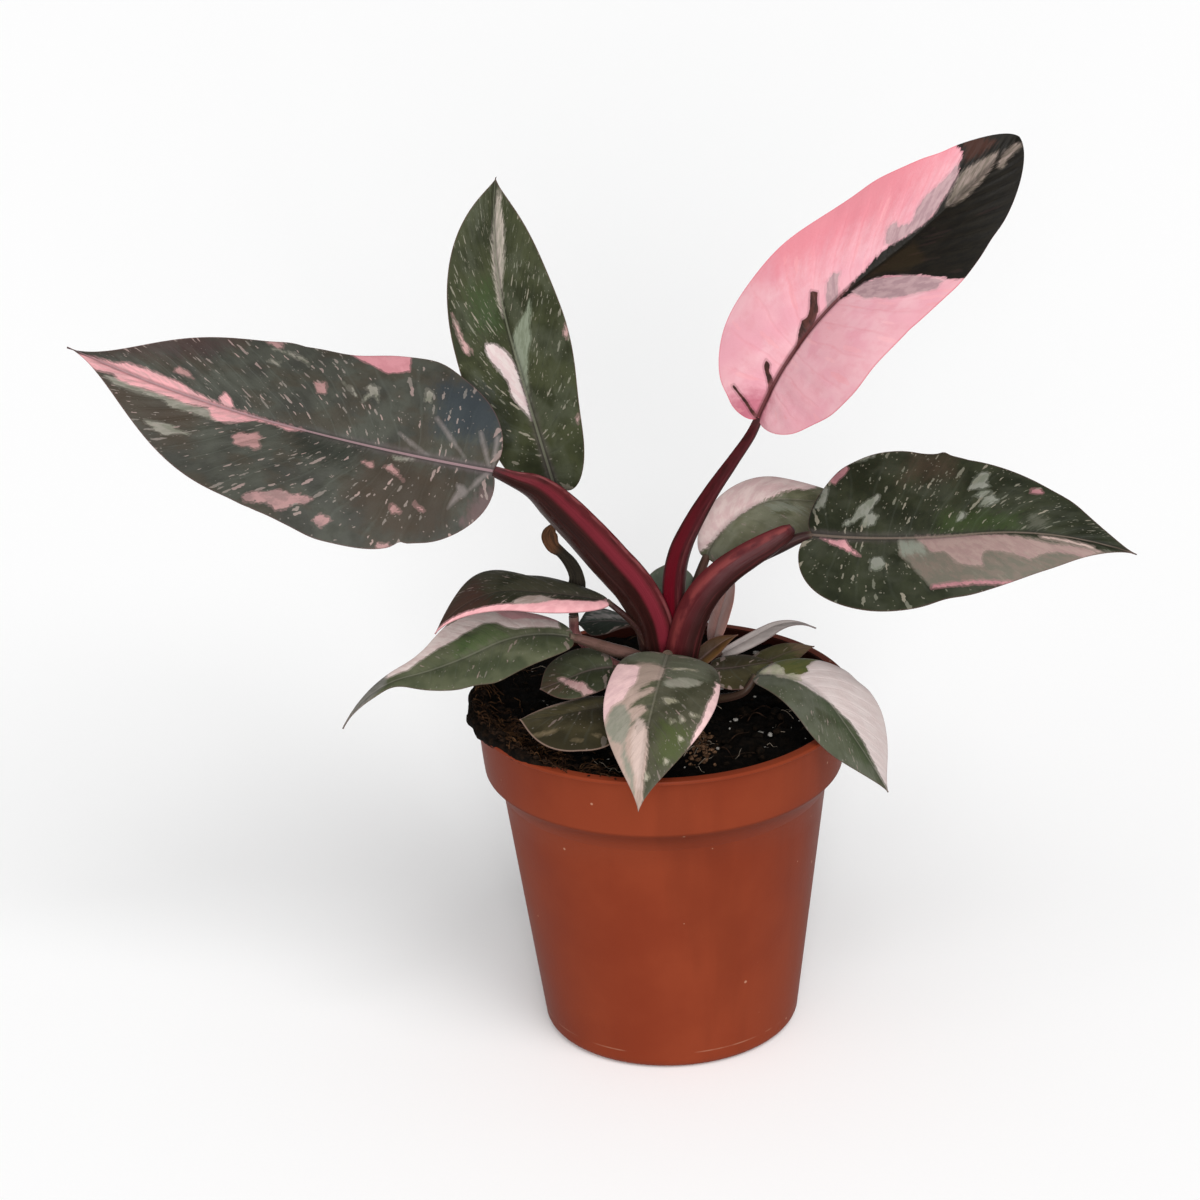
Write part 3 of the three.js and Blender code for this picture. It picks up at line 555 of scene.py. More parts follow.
leafLeft = {
    **largeLeaf,
    "node": "blade_left", "rows": 200, "columns": 96,
    "base": (-49, -6, 191), "length": 137, "left": 33.5, "right": 33,
    "heading": (163, 171, 176), "pitch": (6, 15, 28), "roll": (-55, -33, -50),
    "widest": 0.34, "lobe": 0.05, "lobeSpread": 0.35, "shoulder": 0.4, "drip": 0.14, "dripSpread": 0.06,
    "fold": 9, "wave": {"height": 1.2, "count": 2.4, "phase": 30},
    "dents": [(1, 20, 6, 1.6), (1, 22.6, 1.6, 1.2), (1, 48, 5, -0.5), (1, 69, 5, -0.8),
        (-1, 25, 8, -1.6), (-1, 53, 12.5, 3.6), (-1, 73, 5, -0.7)],
    "look": {
        # its grey ground colours hold painted sheen: the lights' reflection painted over the dark green
        **darkLook, "dark": "363631", "light": "41423b", "deepShare": 0.25, "tint": "3b352c",
        "halo": {**darkLook["halo"], "share": 0.5},
        "dashes": [*darkLook["dashes"][:2], {**darkLook["dashes"][2], "share": 0.06, "strength": 0.5}],
    },
    "marks": {
        "blush": tint("392f26", 5, 0.7, 1.5, [(8, 3), (20, 2), (40, 4), (40, 20), (28, 28), (10, 22)],
            [(94, 4), (130, 3), (118, 14), (92, 16)]),
        "night": tint("2b3238", 5, 0.75, 1.5, [(2, -8), (20, -9), (24, -24), (12, -28), (0, -18)]),
        "shadow": tint("20231d", 4, 0.7, 1.5, [(42, 2), (62, 2), (60, 10), (44, 9)]),
        "maroon": tint("3c2a2a", 4, 0.6, 1.5, [(88, -25), (110, -20), (130, -8), (136, -2), (126, -3.5),
            (112, -8), (96, -15)]),
        "sage": patch("78746b", "66655a", 0.4, [(82, 4.6), (88, 5.4), (101, 5.5), (104, 4.3),
            (112, 4.8), (119, 5.4), (123, 4), (118, 3.2), (104, 2.6), (96, 2.8), (90, 2.2), (86, 3.4)],
            [(93, 12.5), (97, 13.5), (100, 15), (104, 13.8), (107, 12.5), (101, 11.5), (96, 12)],
            [(72, -25.8), (78, -26), (72, -26.8), (67, -25.2), (65, -22.5), (68, -24.2)], [(74, -20),
            (78, -20.4), (77, -22), (74.5, -21.6)], [(46, -18.5), (44, -17.4), (45.4, -13.5),
            (42.6, -16.6), (40.5, -14.5), (42, -19), (44, -19.6)], [(24, -17.5), (25, -21), (27, -21.6),
            (26, -17.5)], [(53, -18.7), (50, -16.5), (48, -15.2), (50, -17.3)], [(31, 1.8), (25, 0.7),
            (24.6, 1.7), (30.6, 2.8)]),
        "rays": patch("7c7371", "716a67", 0.15, [(21.6, -13), (15.6, -7.4), (9.5, -2.4), (14.6, -7.6),
            (21, -13.2)], [(31.5, -6), (27, -3.2), (21, -1), (26, -3.6)], [(6.8, -11), (3.9, -5),
            (1.2, -0.8), (2.8, -5.2), (6, -11.2)], [(1, -10.4), (0.7, -5), (0, -0.8), (-0.2, -5),
            (0.4, -10.4)], [(9.6, 6.6), (7.6, 6.6), (6, 8), (6.6, 9.6), (8.4, 11), (10.6, 14.4),
            (9.8, 10.6), (9, 8.6)], [(0.8, 0.8), (2.6, 4), (5.6, 7.4), (4.4, 4), (1.8, 0.6)], soft=0.5,
            strength=0.6),
        "heart": patch("95716f", "866663", 0.3, [(71, 10.5), (72.5, 12.3), (74.5, 11.2), (76.5, 12.4),
            (79, 11.5), (79.8, 9.5), (78.5, 7.5), (76, 7.6), (73.5, 6.2), (71.8, 7), (72.6, 9)],
            [(61.5, -16.8), (58.5, -17.5), (57, -13.8), (60, -13.2)], [(97.5, -5.5), (100, -5.8),
            (104, -5.8), (103, -7.2), (100, -7.2)], [(40, 6), (37, 5.5), (36, 7.2), (38.6, 7)],
            [(33, 6), (30, 7.2), (26, 9.2), (28.6, 6.6), (31, 5)], [(27.4, 17.2), (24.2, 18.8),
            (24.6, 19.6), (27.6, 18.2)], [(21, 14.8), (17, 16.8), (17.6, 17.6), (21.4, 15.8)],
            [(25.4, 18.2), (27.6, 18.6), (26.6, 20)], [(58.4, -15), (60.8, -15.2), (59.6, -16.4)]),
        "lowerMargin": patch("937270", "7e6462", 0.5, [(51, 22.8), (52, 25), (56, 26), (58, 28.5),
            (60, 29.8), (63, 28.8), (66, 29.5), (70, 31), (71, 29), (69, 27), (65, 25.5), (62, 24),
            (57, 23), (53, 22.6)], [(44, 27), (47, 26.6), (49, 29), (46, 30.4)], [(75, -27), (80, -28),
            (85, -30.5), (76, -30.5)], [(29, 30), (26, 29), (24, 31), (26, 34)]),
        "hubMargin": tint("5d494a", 2, 0.6, 1, [(-3, 6), (2, 6), (4, 12), (6, 18), (2, 18), (-3, 12)]),
        "upperMargin": patch("b1797f", "a87076", 0.2, [(34, -27), (37, -26), (40.5, -25), (44, -26.2),
            (47, -26.8), (53.5, -29.6), (50, -35), (36, -35)]),
        "tipStreak": patch("c18a8d", "ab8283", 0.3, [(60, 0), (65, 1.8), (68, 1), (75, 1.3), (80, 3.8),
            (84, 5.2), (88, 5), (90, 2), (96, 2.8), (104, 2.6), (112, 3), (118, 3.3), (121, 2.2),
            (126, 3.2), (131, 2.8), (134, 1.2), (128, -0.5), (122, -1), (118, -2.6), (112, -3),
            (103, -3), (95, -1.5), (90, -0.8), (82, -0.5), (70, 0)], [(83, -0.5), (85, -3.5),
            (87, -4.6), (88, -2.5), (86, -0.8)]),
    },
}
growLeaf("LeafLeft", leafLeft)

leafUpright = {
    **largeLeaf,
    "node": "blade_upright", "rows": 150, "columns": 60,
    "base": (-31, 30, 171), "length": 104, "left": 18, "right": 18,
    "heading": (188, 191, 179), "pitch": (76, 78, 97), "roll": (-94, -94, -108),
    "widest": 0.46, "lobe": 0.13, "lobeSpread": 0.5, "shoulder": 0.4, "drip": 0.06, "dripSpread": 0.12,
    "fold": 16, "wave": {"height": 0.9, "count": 2.2, "phase": 200},
    "dents": [(-1, 24, 15, 1.5)],
    "look": {
        **greenLook, "dark": "272a1a", "light": "353824", "deep": "1d1e12", "tint": "414435",
        "ribColour": "6d6f5d", "ribShare": 0.45,
    },
    "marks": {
        "slate": tint("424544", 4, 0.5, 2, [(22, 11), (40, 11), (42, 18), (24, 18)]),
        "leafGreen": tint("314223", 4, 0.6, 2, [(56, 2), (72, 2), (70, 9), (58, 9)]),
        "sage": patch("6f7565", "626857", 0.3, [(30, -0.3), (36, -0.2), (46, 0), (52, -1), (56, -3.5),
            (60, -7), (64, -8.6), (60, -8.2), (55, -6.6), (50, -6), (46, -4), (41, -2.6), (35, -1.2)]),
        "tipStreak": patch("968c83", "817c70", 0.5, [(59, 0.6), (68, 1.2), (75, 1.2), (84, 0.8),
            (92, -0.2), (100, -1.2), (101, -1.8), (96, -2), (90, -3), (82, -3), (76, -2.4), (72, -1.2),
            (66, 0)]),
        "margins": patch("a48380", "8b746f", 0.4, [(50.4, 13.2), (52, 14.6), (58, 15.6), (64, 16),
            (60, 15.4), (55, 14.4), (52, 13)], [(47, -16.4), (50, -16.2), (52, -17.4), (48, -17.6)],
            [(19, -13), (21, -12.6), (22, -13.8)]),
        "flash": patch("bcafac", "b7a3a2", 0.25, [(23.8, 0.8), (27, 2), (31, 3.6), (34, 4.6), (38, 4.4),
            (42, 5.6), (46, 7.4), (50, 8.7), (52.6, 8), (51.5, 5.2), (48, 2.8), (44, 1.4), (40, 1),
            (32, 0.6)]),
    },
}
growLeaf("LeafUpright", leafUpright)

leafPink = {
    **largeLeaf,
    "node": "blade_pink", "slot": "pink_blade", "rows": 170, "columns": 76,
    "base": (32.5, 4, 201), "length": 118, "left": 24.5, "right": 28,
    "heading": (0, 1, 12), "pitch": (68, 37, 44), "roll": (49, 45, 61),
    "widest": 0.28, "lobe": 0.04, "lobeSpread": 0.1, "shoulder": 0.4, "drip": 0.01, "dripSpread": 0.36,
    "fold": 22, "wave": {"height": 0.9, "count": 2.6, "phase": 90},
    "dents": [(1, 1.5, 2, 1.8), (1, 18, 10, -0.9), (1, 54, 8, 0.5), (1, 77, 8, -0.9), (1, 98, 4, 0.8),
        (-1, 8, 7, 2), (-1, 32, 8, -1), (-1, 78, 7, -0.9), (-1, 92, 4, 0.8)],
    "look": {
        **darkLook, "dark": "c08993", "light": "c39198", "deep": "bb7e87", "tint": "c69ba1",
        "vein": "b9767d", "veinShare": 0.2, "rib": (0.75, 0.3), "ribColour": "471f1f", "ribShare": 0.85,
        "halo": {"width": 2, "reach": 0.5, "share": 0.5, "colour": "b0626c"},
        "rimColour": "b85a64", "rimShare": 0.5, "under": "c9777f", "underShare": 0.6, "hides": "sector",
        "bare": 0.97,
        "dashes": [{"across": 0.5, "along": 0.08, "share": 0.2, "size": 0.4, "strength": 0.35,
            "colour": "dcaaaa", "second": "c47f84"}],
    },
    "marks": {
        "blush": tint("96485a", 4, 0.75, 1, [(-5, -3), (-5, 13), (2, 10), (7, 4), (8, 0), (4, -3)]),
        "rose": tint("bd6e77", 9, 0.8, 2, [(40, 14), (75, 8), (104, 10), (96, 24), (60, 30), (30, 30)]),
        "sector": patch("12100d", "181510", 0.4, [(45, 0), (49, 0.2), (60, 1.6), (68, 2.5), (74, 1.5),
            (79, 1), (84, 1.2), (88.5, 2.7), (93, 4.6), (96.5, 5.2), (99, 6.2), (103, 8.7), (103, 13),
            (110, 10), (115, 5), (119, 1), (119, -4), (110, -12), (100, -19), (90, -24), (80, -24),
            (76, -20.5), (73.5, -17), (70, -13.5), (66, -10), (62, -6), (58, -4), (52, -3.4),
            (48, -1.8)]),
        "umber": tint("251d11", 1.5, 0.8, 0.5, [(54, -1), (64, 0), (74, -2), (74, -10), (68, -9),
            (60, -3.4)]),
        "rust": tint("3a2018", 1.2, 0.8, 0.8, [(101.5, 6.6), (104.5, 9), (105, 12), (110, 9), (112, 4),
            (106, 4.4)]),
        "tongues": patch("42241f", "2d1a17", 0.08, [(4, -1.2), (8, -0.2), (12, 2.5), (15, 5.5),
            (17, 5.8), (16.5, 4), (14.5, 3.2), (13, 1), (9, -1)], [(20, -1), (26, 0.5), (30, 2.5),
            (33, 3.8), (35, 3.2), (37, 4.2), (39, 6), (41, 7.8), (42.2, 6), (40, 4), (38.5, 2),
            (36, 0.8), (32, 0), (26, -0.8)], [(-0.6, 0.6), (2.2, 5), (5, 11.4), (5.6, 11), (3.2, 5),
            (0.8, 0.6)]),
        "haze": patch("9e8385", "8e7377", 0.25, [(40, 0), (43, 3), (46, 5.8), (49, 6.8), (51, 5.6),
            (48.5, 4), (46, 0.8)], [(50, -2.2), (55, -2.5), (58.5, -4.4), (61, -6.5), (66, -10),
            (70.5, -14.5), (74.5, -19.5), (71, -20), (65.5, -17.5), (59, -13.5), (52.5, -7.5)],
            [(66.5, 3.6), (70, 7), (73.5, 7), (73, 5), (77, 3.6), (81, 5.8), (84.5, 6.6), (89, 6.6),
            (93, 6.6), (96.5, 6.8), (99, 7.4), (96.5, 4.6), (91, 3.2), (88, 2.6), (83.5, 1.2), (79, 1),
            (74, 1.6), (68.5, 2.4)]),
        "ash": patch("7a6c65", "60574e", 0.35, [(88, 0.6), (93.5, 3), (98, 4.5), (104, 3.6),
            (110.5, 1.5), (105, -1), (99.5, -1.7), (94.5, -2), (90, -1)], [(107, -2), (111.5, 0),
            (115.5, -0.5), (117, -2.5), (111, -2.2), (108, -3.4)]),
    },
}
growLeaf("LeafPink", leafPink)

leafRight = {
    **largeLeaf,
    "node": "blade_right", "rows": 160, "columns": 76,
    "base": (48, 2, 162.5), "length": 102, "left": 30.5, "right": 24,
    "heading": (-29, -11, -16), "pitch": (4, 8, -17), "roll": (46, 40, 50),
    "widest": 0.28, "lobe": 0.07, "lobeSpread": 0.2, "shoulder": 0.32, "drip": 0.11, "dripSpread": 0.01,
    "fold": 8, "wave": {"height": 0.8, "count": 2.2, "phase": 10},
    "dents": [(1, 3, 4, -1.2), (1, 34, 5, 0.6), (1, 41.5, 2, -0.9), (1, 60, 12, 0.8), (1, 81, 5, -1.8),
        (-1, 3, 9, -0.8), (-1, 44, 5, 1), (-1, 80, 6, -1)],
    "look": {**greenLook, "dark": "1d2014", "light": "2b2e20", "deep": "141710", "tint": "35372c"},
    "marks": {
        "bronze": tint("40342a", 5, 0.6, 1.5, [(28, 20), (46, 20), (44, 29), (30, 29)]),
        "leafGreen": tint("2f3c1d", 3, 0.6, 1.5, [(41, 1), (66, 1), (65, 6), (42, 7)]),
        "haze": tint("5b5b50", 1.5, 0.5, 1, [(68.5, 5.6), (73, 5.6), (73.5, 1.8), (69, 1.4)]),
        "sage": patch("655b52", "5c584e", 0.3, [(29, -0.2), (44, 0), (60, -0.9), (74, -2.4), (92, -2.4),
            (102, -1), (98, -7), (84, -14), (74, -18), (66, -20), (65, -16.4), (52, -16.8), (40, -17.2),
            (36, -13), (33, -9), (29.5, -6)], soft=0.5),
        "silver": tint("757b70", 1.5, 0.7, 1, [(29, -1), (37, -1.5), (38, -6), (30, -6)]),
        "flecks": patch("72736a", "63665a", 0.35, [(10, 3.6), (13, 6.5), (14.5, 9.5), (17, 11.8),
            (20, 14.2), (21, 13.8), (19, 10.5), (17.5, 7.5), (15, 6), (12, 4)], [(16, 3.8), (17, 6.5),
            (19.5, 8.2), (20.8, 7), (20, 4.5), (17, 3.4)], [(51, 15), (52, 18), (54, 20.5), (56.5, 20),
            (55.5, 16.5), (57, 15)], [(54, 8.8), (55, 11.5), (58, 12), (59, 10.5), (56, 9)], [(47, 4.8),
            (48, 7.3), (50, 7), (49, 5)], [(52, 12.4), (55, 14.5), (57, 13.6), (55, 12)], [(-1, 9),
            (2, 9), (2, 16), (0, 16)], [(8, 25), (12, 26), (16, 28), (10, 29)], [(21, -7.4), (24, -7),
            (25.4, -9), (24, -11), (21.4, -10.8)]),
        "roseMargin": patch("996b6e", "8c6165", 0.2, [(1.2, 18), (3, 21), (6, 23.8), (7.6, 22.8),
            (6, 20), (4, 17.5)], [(40, -16.6), (52, -16.2), (65, -15.8), (65.5, -16.6), (52, -17.2),
            (40, -17.6)], [(68, 13.2), (71.4, 13.4), (70.6, 14.8), (68.4, 14.6)]),
        "band": patch("8a756f", "836c68", 0.3, [(33.5, 0.4), (44, 0), (60, -0.9), (74, -3.2), (82, -3),
            (91, -2.7), (87, -5.5), (80, -5.2), (74.5, -6), (70, -8.5), (63.5, -7), (58, -6),
            (55.5, -6.5), (54, -8.5), (55, -11.5), (50, -11), (46.5, -9.5), (43.5, -5.5), (39, -5.5),
            (37, -3)]),
        "line": patch("a58f88", "96847c", 0.15, [(72, -0.7), (80, -1.1), (89, -1.7), (89, -2.3),
            (80, -1.8), (73, -1.4)]),
        "baseFlash": patch("b98689", "ac7a7f", 0.2, [(3.5, -0.8), (8, -1.6), (11.5, -1), (13, -3),
            (15, -4.6), (17.5, -6.5), (14, -5.2), (12, -4.2), (8, -2.6)]),
    },
}
growLeaf("LeafRight", leafRight)

leafBack = {
    **largeLeaf,
    "node": "blade_back", "slot": "mixed_blade", "rows": 110, "columns": 48,
    "base": (16, 24, 147.5), "length": 69, "left": 10.5, "right": 19,
    "heading": (13, 21, 17), "pitch": (70, -14, -18), "roll": (28, 25, 25),
    "widest": 0.38, "lobe": 0.05, "lobeSpread": 0.4, "shoulder": 0.26, "drip": 0.13, "dripSpread": 0.11,
    "fold": 12, "curl": -25,
    "look": {
        **smallLook, "dark": "4e4f3a", "light": "63634f", "tint": "737463", "vein": "828274",
        "ribColour": "9a948a",
    },
    "marks": {
        "blushHalf": patch("bfaba7", "b79d9b", 0.6, [(-2, 4), (1, 2), (5, 0.3), (10, -0.6), (16, -0.8),
            (22, -0.3), (28, 0.8), (33, 2.8), (38, 4.2), (44, 4.8), (48, 8), (42, 12), (20, 14),
            (6, 12)]),
        "light": tint("787c6e", 1.5, 0.7, 1.5, [(26, -2), (36, -2.6), (38, -5), (36, -7), (27, -6)]),
    },
}
growLeaf("LeafBack", leafBack)

leafFront = {
    **smallLeaf,
    "node": "blade_front", "slot": "mixed_blade", "rows": 110, "columns": 56,
    "base": (2, -14, 131), "length": 67, "left": 19, "right": 15.5,
    "heading": (-98, -103, -101), "pitch": (7, -21, -60), "roll": (-7, 0, 1),
    "widest": 0.39, "lobeSpread": 0.7, "shoulder": 0.3, "drip": 0.14,
    "look": {
        **smallLook, "dark": "383829", "light": "484638", "tint": "514f41", "ribColour": "a39a8e",
        "rimShare": 0.25,
    },
    "marks": {
        "leafGreen": tint("404a25", 3, 0.7, 1.5, [(37, 4), (52, 5), (50, 12), (40, 13)]),
        "dusk": tint("5c5f50", 2, 0.6, 1, [(-3, -12), (-3, 14), (16, 14), (22, 8), (22, 1), (11, 0),
            (10, -12)]),
        "cream": patch("a08b81", "98857a", 0.3, [(11, 0.5), (18, 0.2), (24, -1), (27.5, -1.5), (31, -3),
            (33.5, -1.4), (36.5, -2.6), (40.5, -3.6), (43, -3), (41, -1.5), (39.5, -0.5), (44, 0.5),
            (50, 1.2), (68, 0.6), (66, -2), (60, -5), (54, -9), (46, -14), (34, -18), (20, -19),
            (12, -16), (12, -8), (10.8, -4)]),
        "dull": tint("87776c", 1.5, 0.7, 0.8, [(10, 0), (25, -1), (27, -5), (24, -8), (10, -8)]),
        "fingers": patch("464736", "535240", 0.4, [(18, 0.6), (20.5, -2), (24, -4.6), (25.6, -4.8),
            (23, -2), (22.4, 0.6)], [(24, 0.6), (27, -2.4), (31, -6), (33.4, -6.8), (31.6, -3.8),
            (30.4, -1.4), (31, 0.6)], [(32, 0.6), (35, -2.4), (38.6, -5.2), (40, -5.4), (38, -2.8),
            (37, 0)], soft=0.4),
        "pale": tint("b7a39b", 1, 0.7, 0.5, [(38, -1), (46, 0.4), (60, 0.6), (60, -1), (50, -3.6),
            (44, -4.4), (36, -4)]),
        "sage": patch("807d71", "777669", 0.35, [(36, -12.6), (32.6, -12), (31.5, -9.5), (34, -7),
            (38, -5.5), (43, -6.2), (46, -7), (45, -10), (41, -13)], [(45, -6.4), (50, -5), (56, -2.4),
            (62, -1.6), (56, -3.8), (50, -6.4)], [(19, 2), (17.6, 6), (17.4, 9), (18, 13), (20.6, 12),
            (21.8, 9), (22.4, 6), (22, 2.6)], soft=0.6),
        "rose": patch("d1b0ae", "c5a4a4", 0.25, [(13, -7), (21.5, -7), (25, -8.5), (29.5, -9.5),
            (32.5, -12.5), (38, -14), (38, -19), (20, -20), (10, -16)], [(16.5, 17), (19, 18),
            (20, 16.8), (23, 17.8), (26, 16.8), (30, 16.4), (36, 16), (40, 14.6), (45, 14), (50, 12),
            (53, 10.4), (53, 16), (42, 20), (30, 23), (18, 22)]),
        "arcs": patch("8f897b", "7f7b68", 0.3, [(11.6, 3), (11.2, 7), (11.5, 10.6), (12.4, 10.4),
            (12.2, 7), (12.6, 3.2)], [(27.5, 2.5), (28, 5.5), (29.5, 7.5), (30, 5.8), (30.5, 4.5),
            (29, 3.4)], [(33.5, 12), (34.2, 14.8), (34.8, 13)], [(35, 9.4), (37.4, 9.8), (36.4, 11)],
            [(36.4, 6.4), (38.4, 6.8), (37.4, 8)], [(42.4, 10), (44.2, 10.2), (43.2, 11.4)],
            [(50.4, 6.4), (52, 6.8), (51, 8)], [(55, 1.4), (57.4, 1.4), (56.4, 2.6)]),
    },
}
growLeaf("LeafFront", leafFront)

leafFrontRight = {
    **smallLeaf,
    "node": "blade_front_right", "slot": "mixed_blade", "rows": 100, "columns": 52,
    "base": (29.3, -12.5, 122.1), "length": 59.8, "left": 17.5, "right": 14,
    "heading": (-24, -42, -43), "pitch": (20, -44, -50), "roll": (9, 1, 0),
    "widest": 0.49, "lobe": 0.07, "lobeSpread": 0.25, "shoulder": 0.28, "dripSpread": 0.13,
    "dents": [(1, 25.5, 2.5, 0.8), (1, 36, 6, -0.5), (-1, 50, 6, 1)],
    "look": {
        **smallLook, "dark": "383b2c", "light": "484b3c", "tint": "54564b", "ribColour": "b3ab9f",
        "rimShare": 0.25,
    },
    "marks": {
        "shadow": tint("2f3a22", 2, 0.6, 1, [(24, -0.5), (36, 1.4), (50, 1), (50, -3), (36, -3),
            (24, -4)]),
        "cream": patch("8d8c76", "9a9284", 0.3, [(1, 1), (4.5, 5.4), (8, 5), (14, 3), (20, 2),
            (20, -1.4), (9, -1.8)], soft=0.9),
        "white": patch("b3a7a4", "afa19e", 0.2, [(14, 20), (13.5, 11), (13.2, 6.6), (15, 5), (14, 2.6),
            (16, 0), (14, -1.6), (18, -1.8), (23, -1.4), (26, 0), (32, 1.4), (36, 2.2), (43.5, 2.2),
            (48, 1.4), (54, 0.6), (61, 0.2), (57, 8), (50, 14), (42, 20), (26, 22)]),
        "olive": patch("414624", "4c4c28", 0.3, [(3.5, 6.5), (7.5, 3.6), (10, 0.6), (14, 2.5), (15, 5),
            (13.5, 6.5), (13.2, 11), (14.5, 15), (5, 13)]),
    },
}
growLeaf("LeafFrontRight", leafFrontRight)

leafLeftUpper = {
    **smallLeaf,
    "node": "blade_left_upper", "rows": 100, "columns": 44,
    "base": (-16, -6, 146.5), "length": 60, "left": 11.5, "right": 11.5,
    "heading": (195, 199, 204), "pitch": (19, 13, -50), "roll": (-9, -11, -10),
    "widest": 0.44, "lobe": 0.06, "lobeSpread": 0.25, "shoulder": 0.26, "drip": 0.13,
    "dents": [(-1, 24, 4, 1.3), (-1, 39, 10, -3)],
    "look": {**smallLook, "dark": "222217", "light": "2f2d22", "tint": "373529", "ribColour": "6b5a50"},
    "marks": {
        "rust": tint("39231f", 4, 0.7, 2, [(40, -8), (60, -3), (60, 3), (40, 8)]),
        "rose": patch("dca4a7", "d2989c", 0.15, [(0, -0.5), (5, 3), (13.5, 4.6), (18, 5), (22, 6),
            (28, 7.6), (34, 8), (40, 6.6), (46, 4.6), (53, 1.6), (60, -0.5), (60, 2), (54, 7), (46, 12),
            (34, 15), (20, 14), (6, 12), (0, 6)]),
        "mist": patch("94857f", "86776f", 0.3, [(19, 4.6), (23, 3), (28, 4), (32, 6), (34, 7.8),
            (30, 8), (26, 7.2), (22, 6)]),
    },
}
growLeaf("LeafLeftUpper", leafLeftUpper)

leafLeftLower = {
    **smallLeaf,
    "node": "blade_left_lower", "slot": "mixed_blade", "rows": 120, "columns": 48,
    "base": (-28, -14, 138.5), "length": 79, "left": 14.5, "right": 13,
    "heading": (188, 200, 199), "pitch": (18, -19, -3, -60), "roll": (-16, -21, -17),
    "widest": 0.37, "lobe": 0.07, "lobeSpread": 0.3, "shoulder": 0.1, "drip": 0.31, "dripSpread": 0.1,
    "dents": [(1, 35, 5, 1.6), (1, 59, 6, 7), (-1, 30, 14, -4.2)],
    "look": {
        **smallLook, "dark": "393e2c", "light": "4c4f3b", "tint": "5b5d49", "ribColour": "a8a396",
        "rimShare": 0.25,
    },
    "marks": {
        "leafGreen": tint("435430", 2.5, 0.6, 1.5, [(19, -1), (36, -1.5), (35, -7), (22, -7.5)]),
        "white": patch("c4b5b0", "b9a5a1", 0.15, [(3, -3), (10, -3), (16, -3.2), (18.5, -5), (20.5, -8),
            (24, -9.5), (30, -9), (34, -8), (40, -7.3), (47, -5), (52, -2.5), (58, -2), (62, -3),
            (56, -8), (46, -13), (30, -16), (12, -15), (3, -10)]),
        "rose": patch("bb8f91", "b7888a", 0.15, [(3, -6.5), (10, -7), (16, -7.6), (18, -10), (20, -15),
            (8, -15), (1, -10)]),
        "tail": patch("64625d", "5a5953", 0.15, [(58, -4), (64, -3), (80, -2), (80, 2), (66, 1.4),
            (60, 0)], soft=0.8),
    },
}
growLeaf("LeafLeftLower", leafLeftLower)

leafInnerLeft = {
    **smallLeaf,
    "node": "blade_crown_left", "rows": 50, "columns": 40,
    "base": (-15, -14, 127.5), "length": 24, "left": 9.5, "right": 11,
    "heading": (193, 197, 195), "pitch": (8, -16, -10), "roll": (-22, -18, -23),
    "widest": 0.42, "shoulder": 0.44, "drip": 0.07, "dripSpread": 0.13,
    "look": {**smallLook, "dark": "25281a", "light": "343626", "tint": "3e4131"},
    "marks": {
        "rust": tint("3d2b24", 3, 0.6, 1.5, [(17, -6), (24, -2), (24, 3), (17, 5)]),
        "rose": patch("967a77", "8e6f6d", 0.3, [(8.5, 9.3), (12.5, 9), (14.5, 5), (16, 2), (17.5, -1.5),
            (16, -1), (13, 3), (11, 5), (10.5, 8)]),
    },
}
growLeaf("LeafInnerLeft", leafInnerLeft)

leafOverSoil = {
    **smallLeaf,
    "node": "blade_over_soil", "rows": 60, "columns": 44,
    "base": (-14.5, -26, 120), "length": 30, "left": 20, "right": 7,
    "heading": (188, 188, 176), "pitch": (1, -8, -1), "roll": (-14, -9, -12),
    "widest": 0.39, "shoulder": 0.42, "drip": 0.07, "dripSpread": 0.13,
    "look": {
        **smallLook, "dark": "2a2619", "light": "373221", "tint": "433d2b", "ribColour": "4f4632",
        "rimWidth": 0.35, "rimColour": "836c60", "rimShare": 0.75,
    },
    "marks": {
        "tan": patch("645843", "544a37", 0.3, [(19.5, 8), (23, 8), (27, 8), (24, 9.4), (20, 9.2)],
            [(13, 15.2), (16, 14.6), (15, 16)], [(7, 14), (10, 14), (8, 15)], soft=0.6),
        "pinkMargin": patch("7f685d", "6f5b4c", 0.25, [(11, -6), (22, -4.6), (28, -2), (25, -8),
            (14, -8)], soft=0.4),
    },
}
growLeaf("LeafOverSoil", leafOverSoil)

leafInnerRight = {
    **smallLeaf,
    "node": "blade_crown_right", "rows": 44, "columns": 36,
    "base": (16, -4, 121), "length": 19, "left": 7.5, "right": 11.5,
    "heading": (3, 6, 6), "pitch": (-2, 5, 3), "roll": (11, 9, 11),
    "widest": 0.38, "shoulder": 0.32,
    "look": {**smallLook, "dark": "282316", "light": "342f1d", "tint": "3d3825"},
    "marks": {
        "edge": patch("454229", "3d3a24", 0.5, [(12, -1), (18, -1), (19, -3), (15, -8), (12.6, -6)],
            soft=0.6),
    },
}
growLeaf("LeafInnerRight", leafInnerRight)

leafNarrowRight = {
    **smallLeaf,
    "node": "blade_narrow_right", "slot": "mixed_blade", "rows": 64, "columns": 24,
    "base": (19.5, 10, 120), "length": 36, "left": 1.8, "right": 4.6,
    "heading": (28, 33, 16), "pitch": (14, 11, -35), "roll": (42, 39, 40),
    "widest": 0.34, "shoulder": 0.2, "drip": 0.16, "dripSpread": 0.16,
    "fold": 40, "curl": -10,
    "look": {
        **plainLook, "dark": "8b8380", "light": "978f8b", "deep": "7f7875", "tint": "a39b97",
        "under": "857b78",
    },
    "marks": {},
}
growLeaf("LeafNarrowRight", leafNarrowRight)

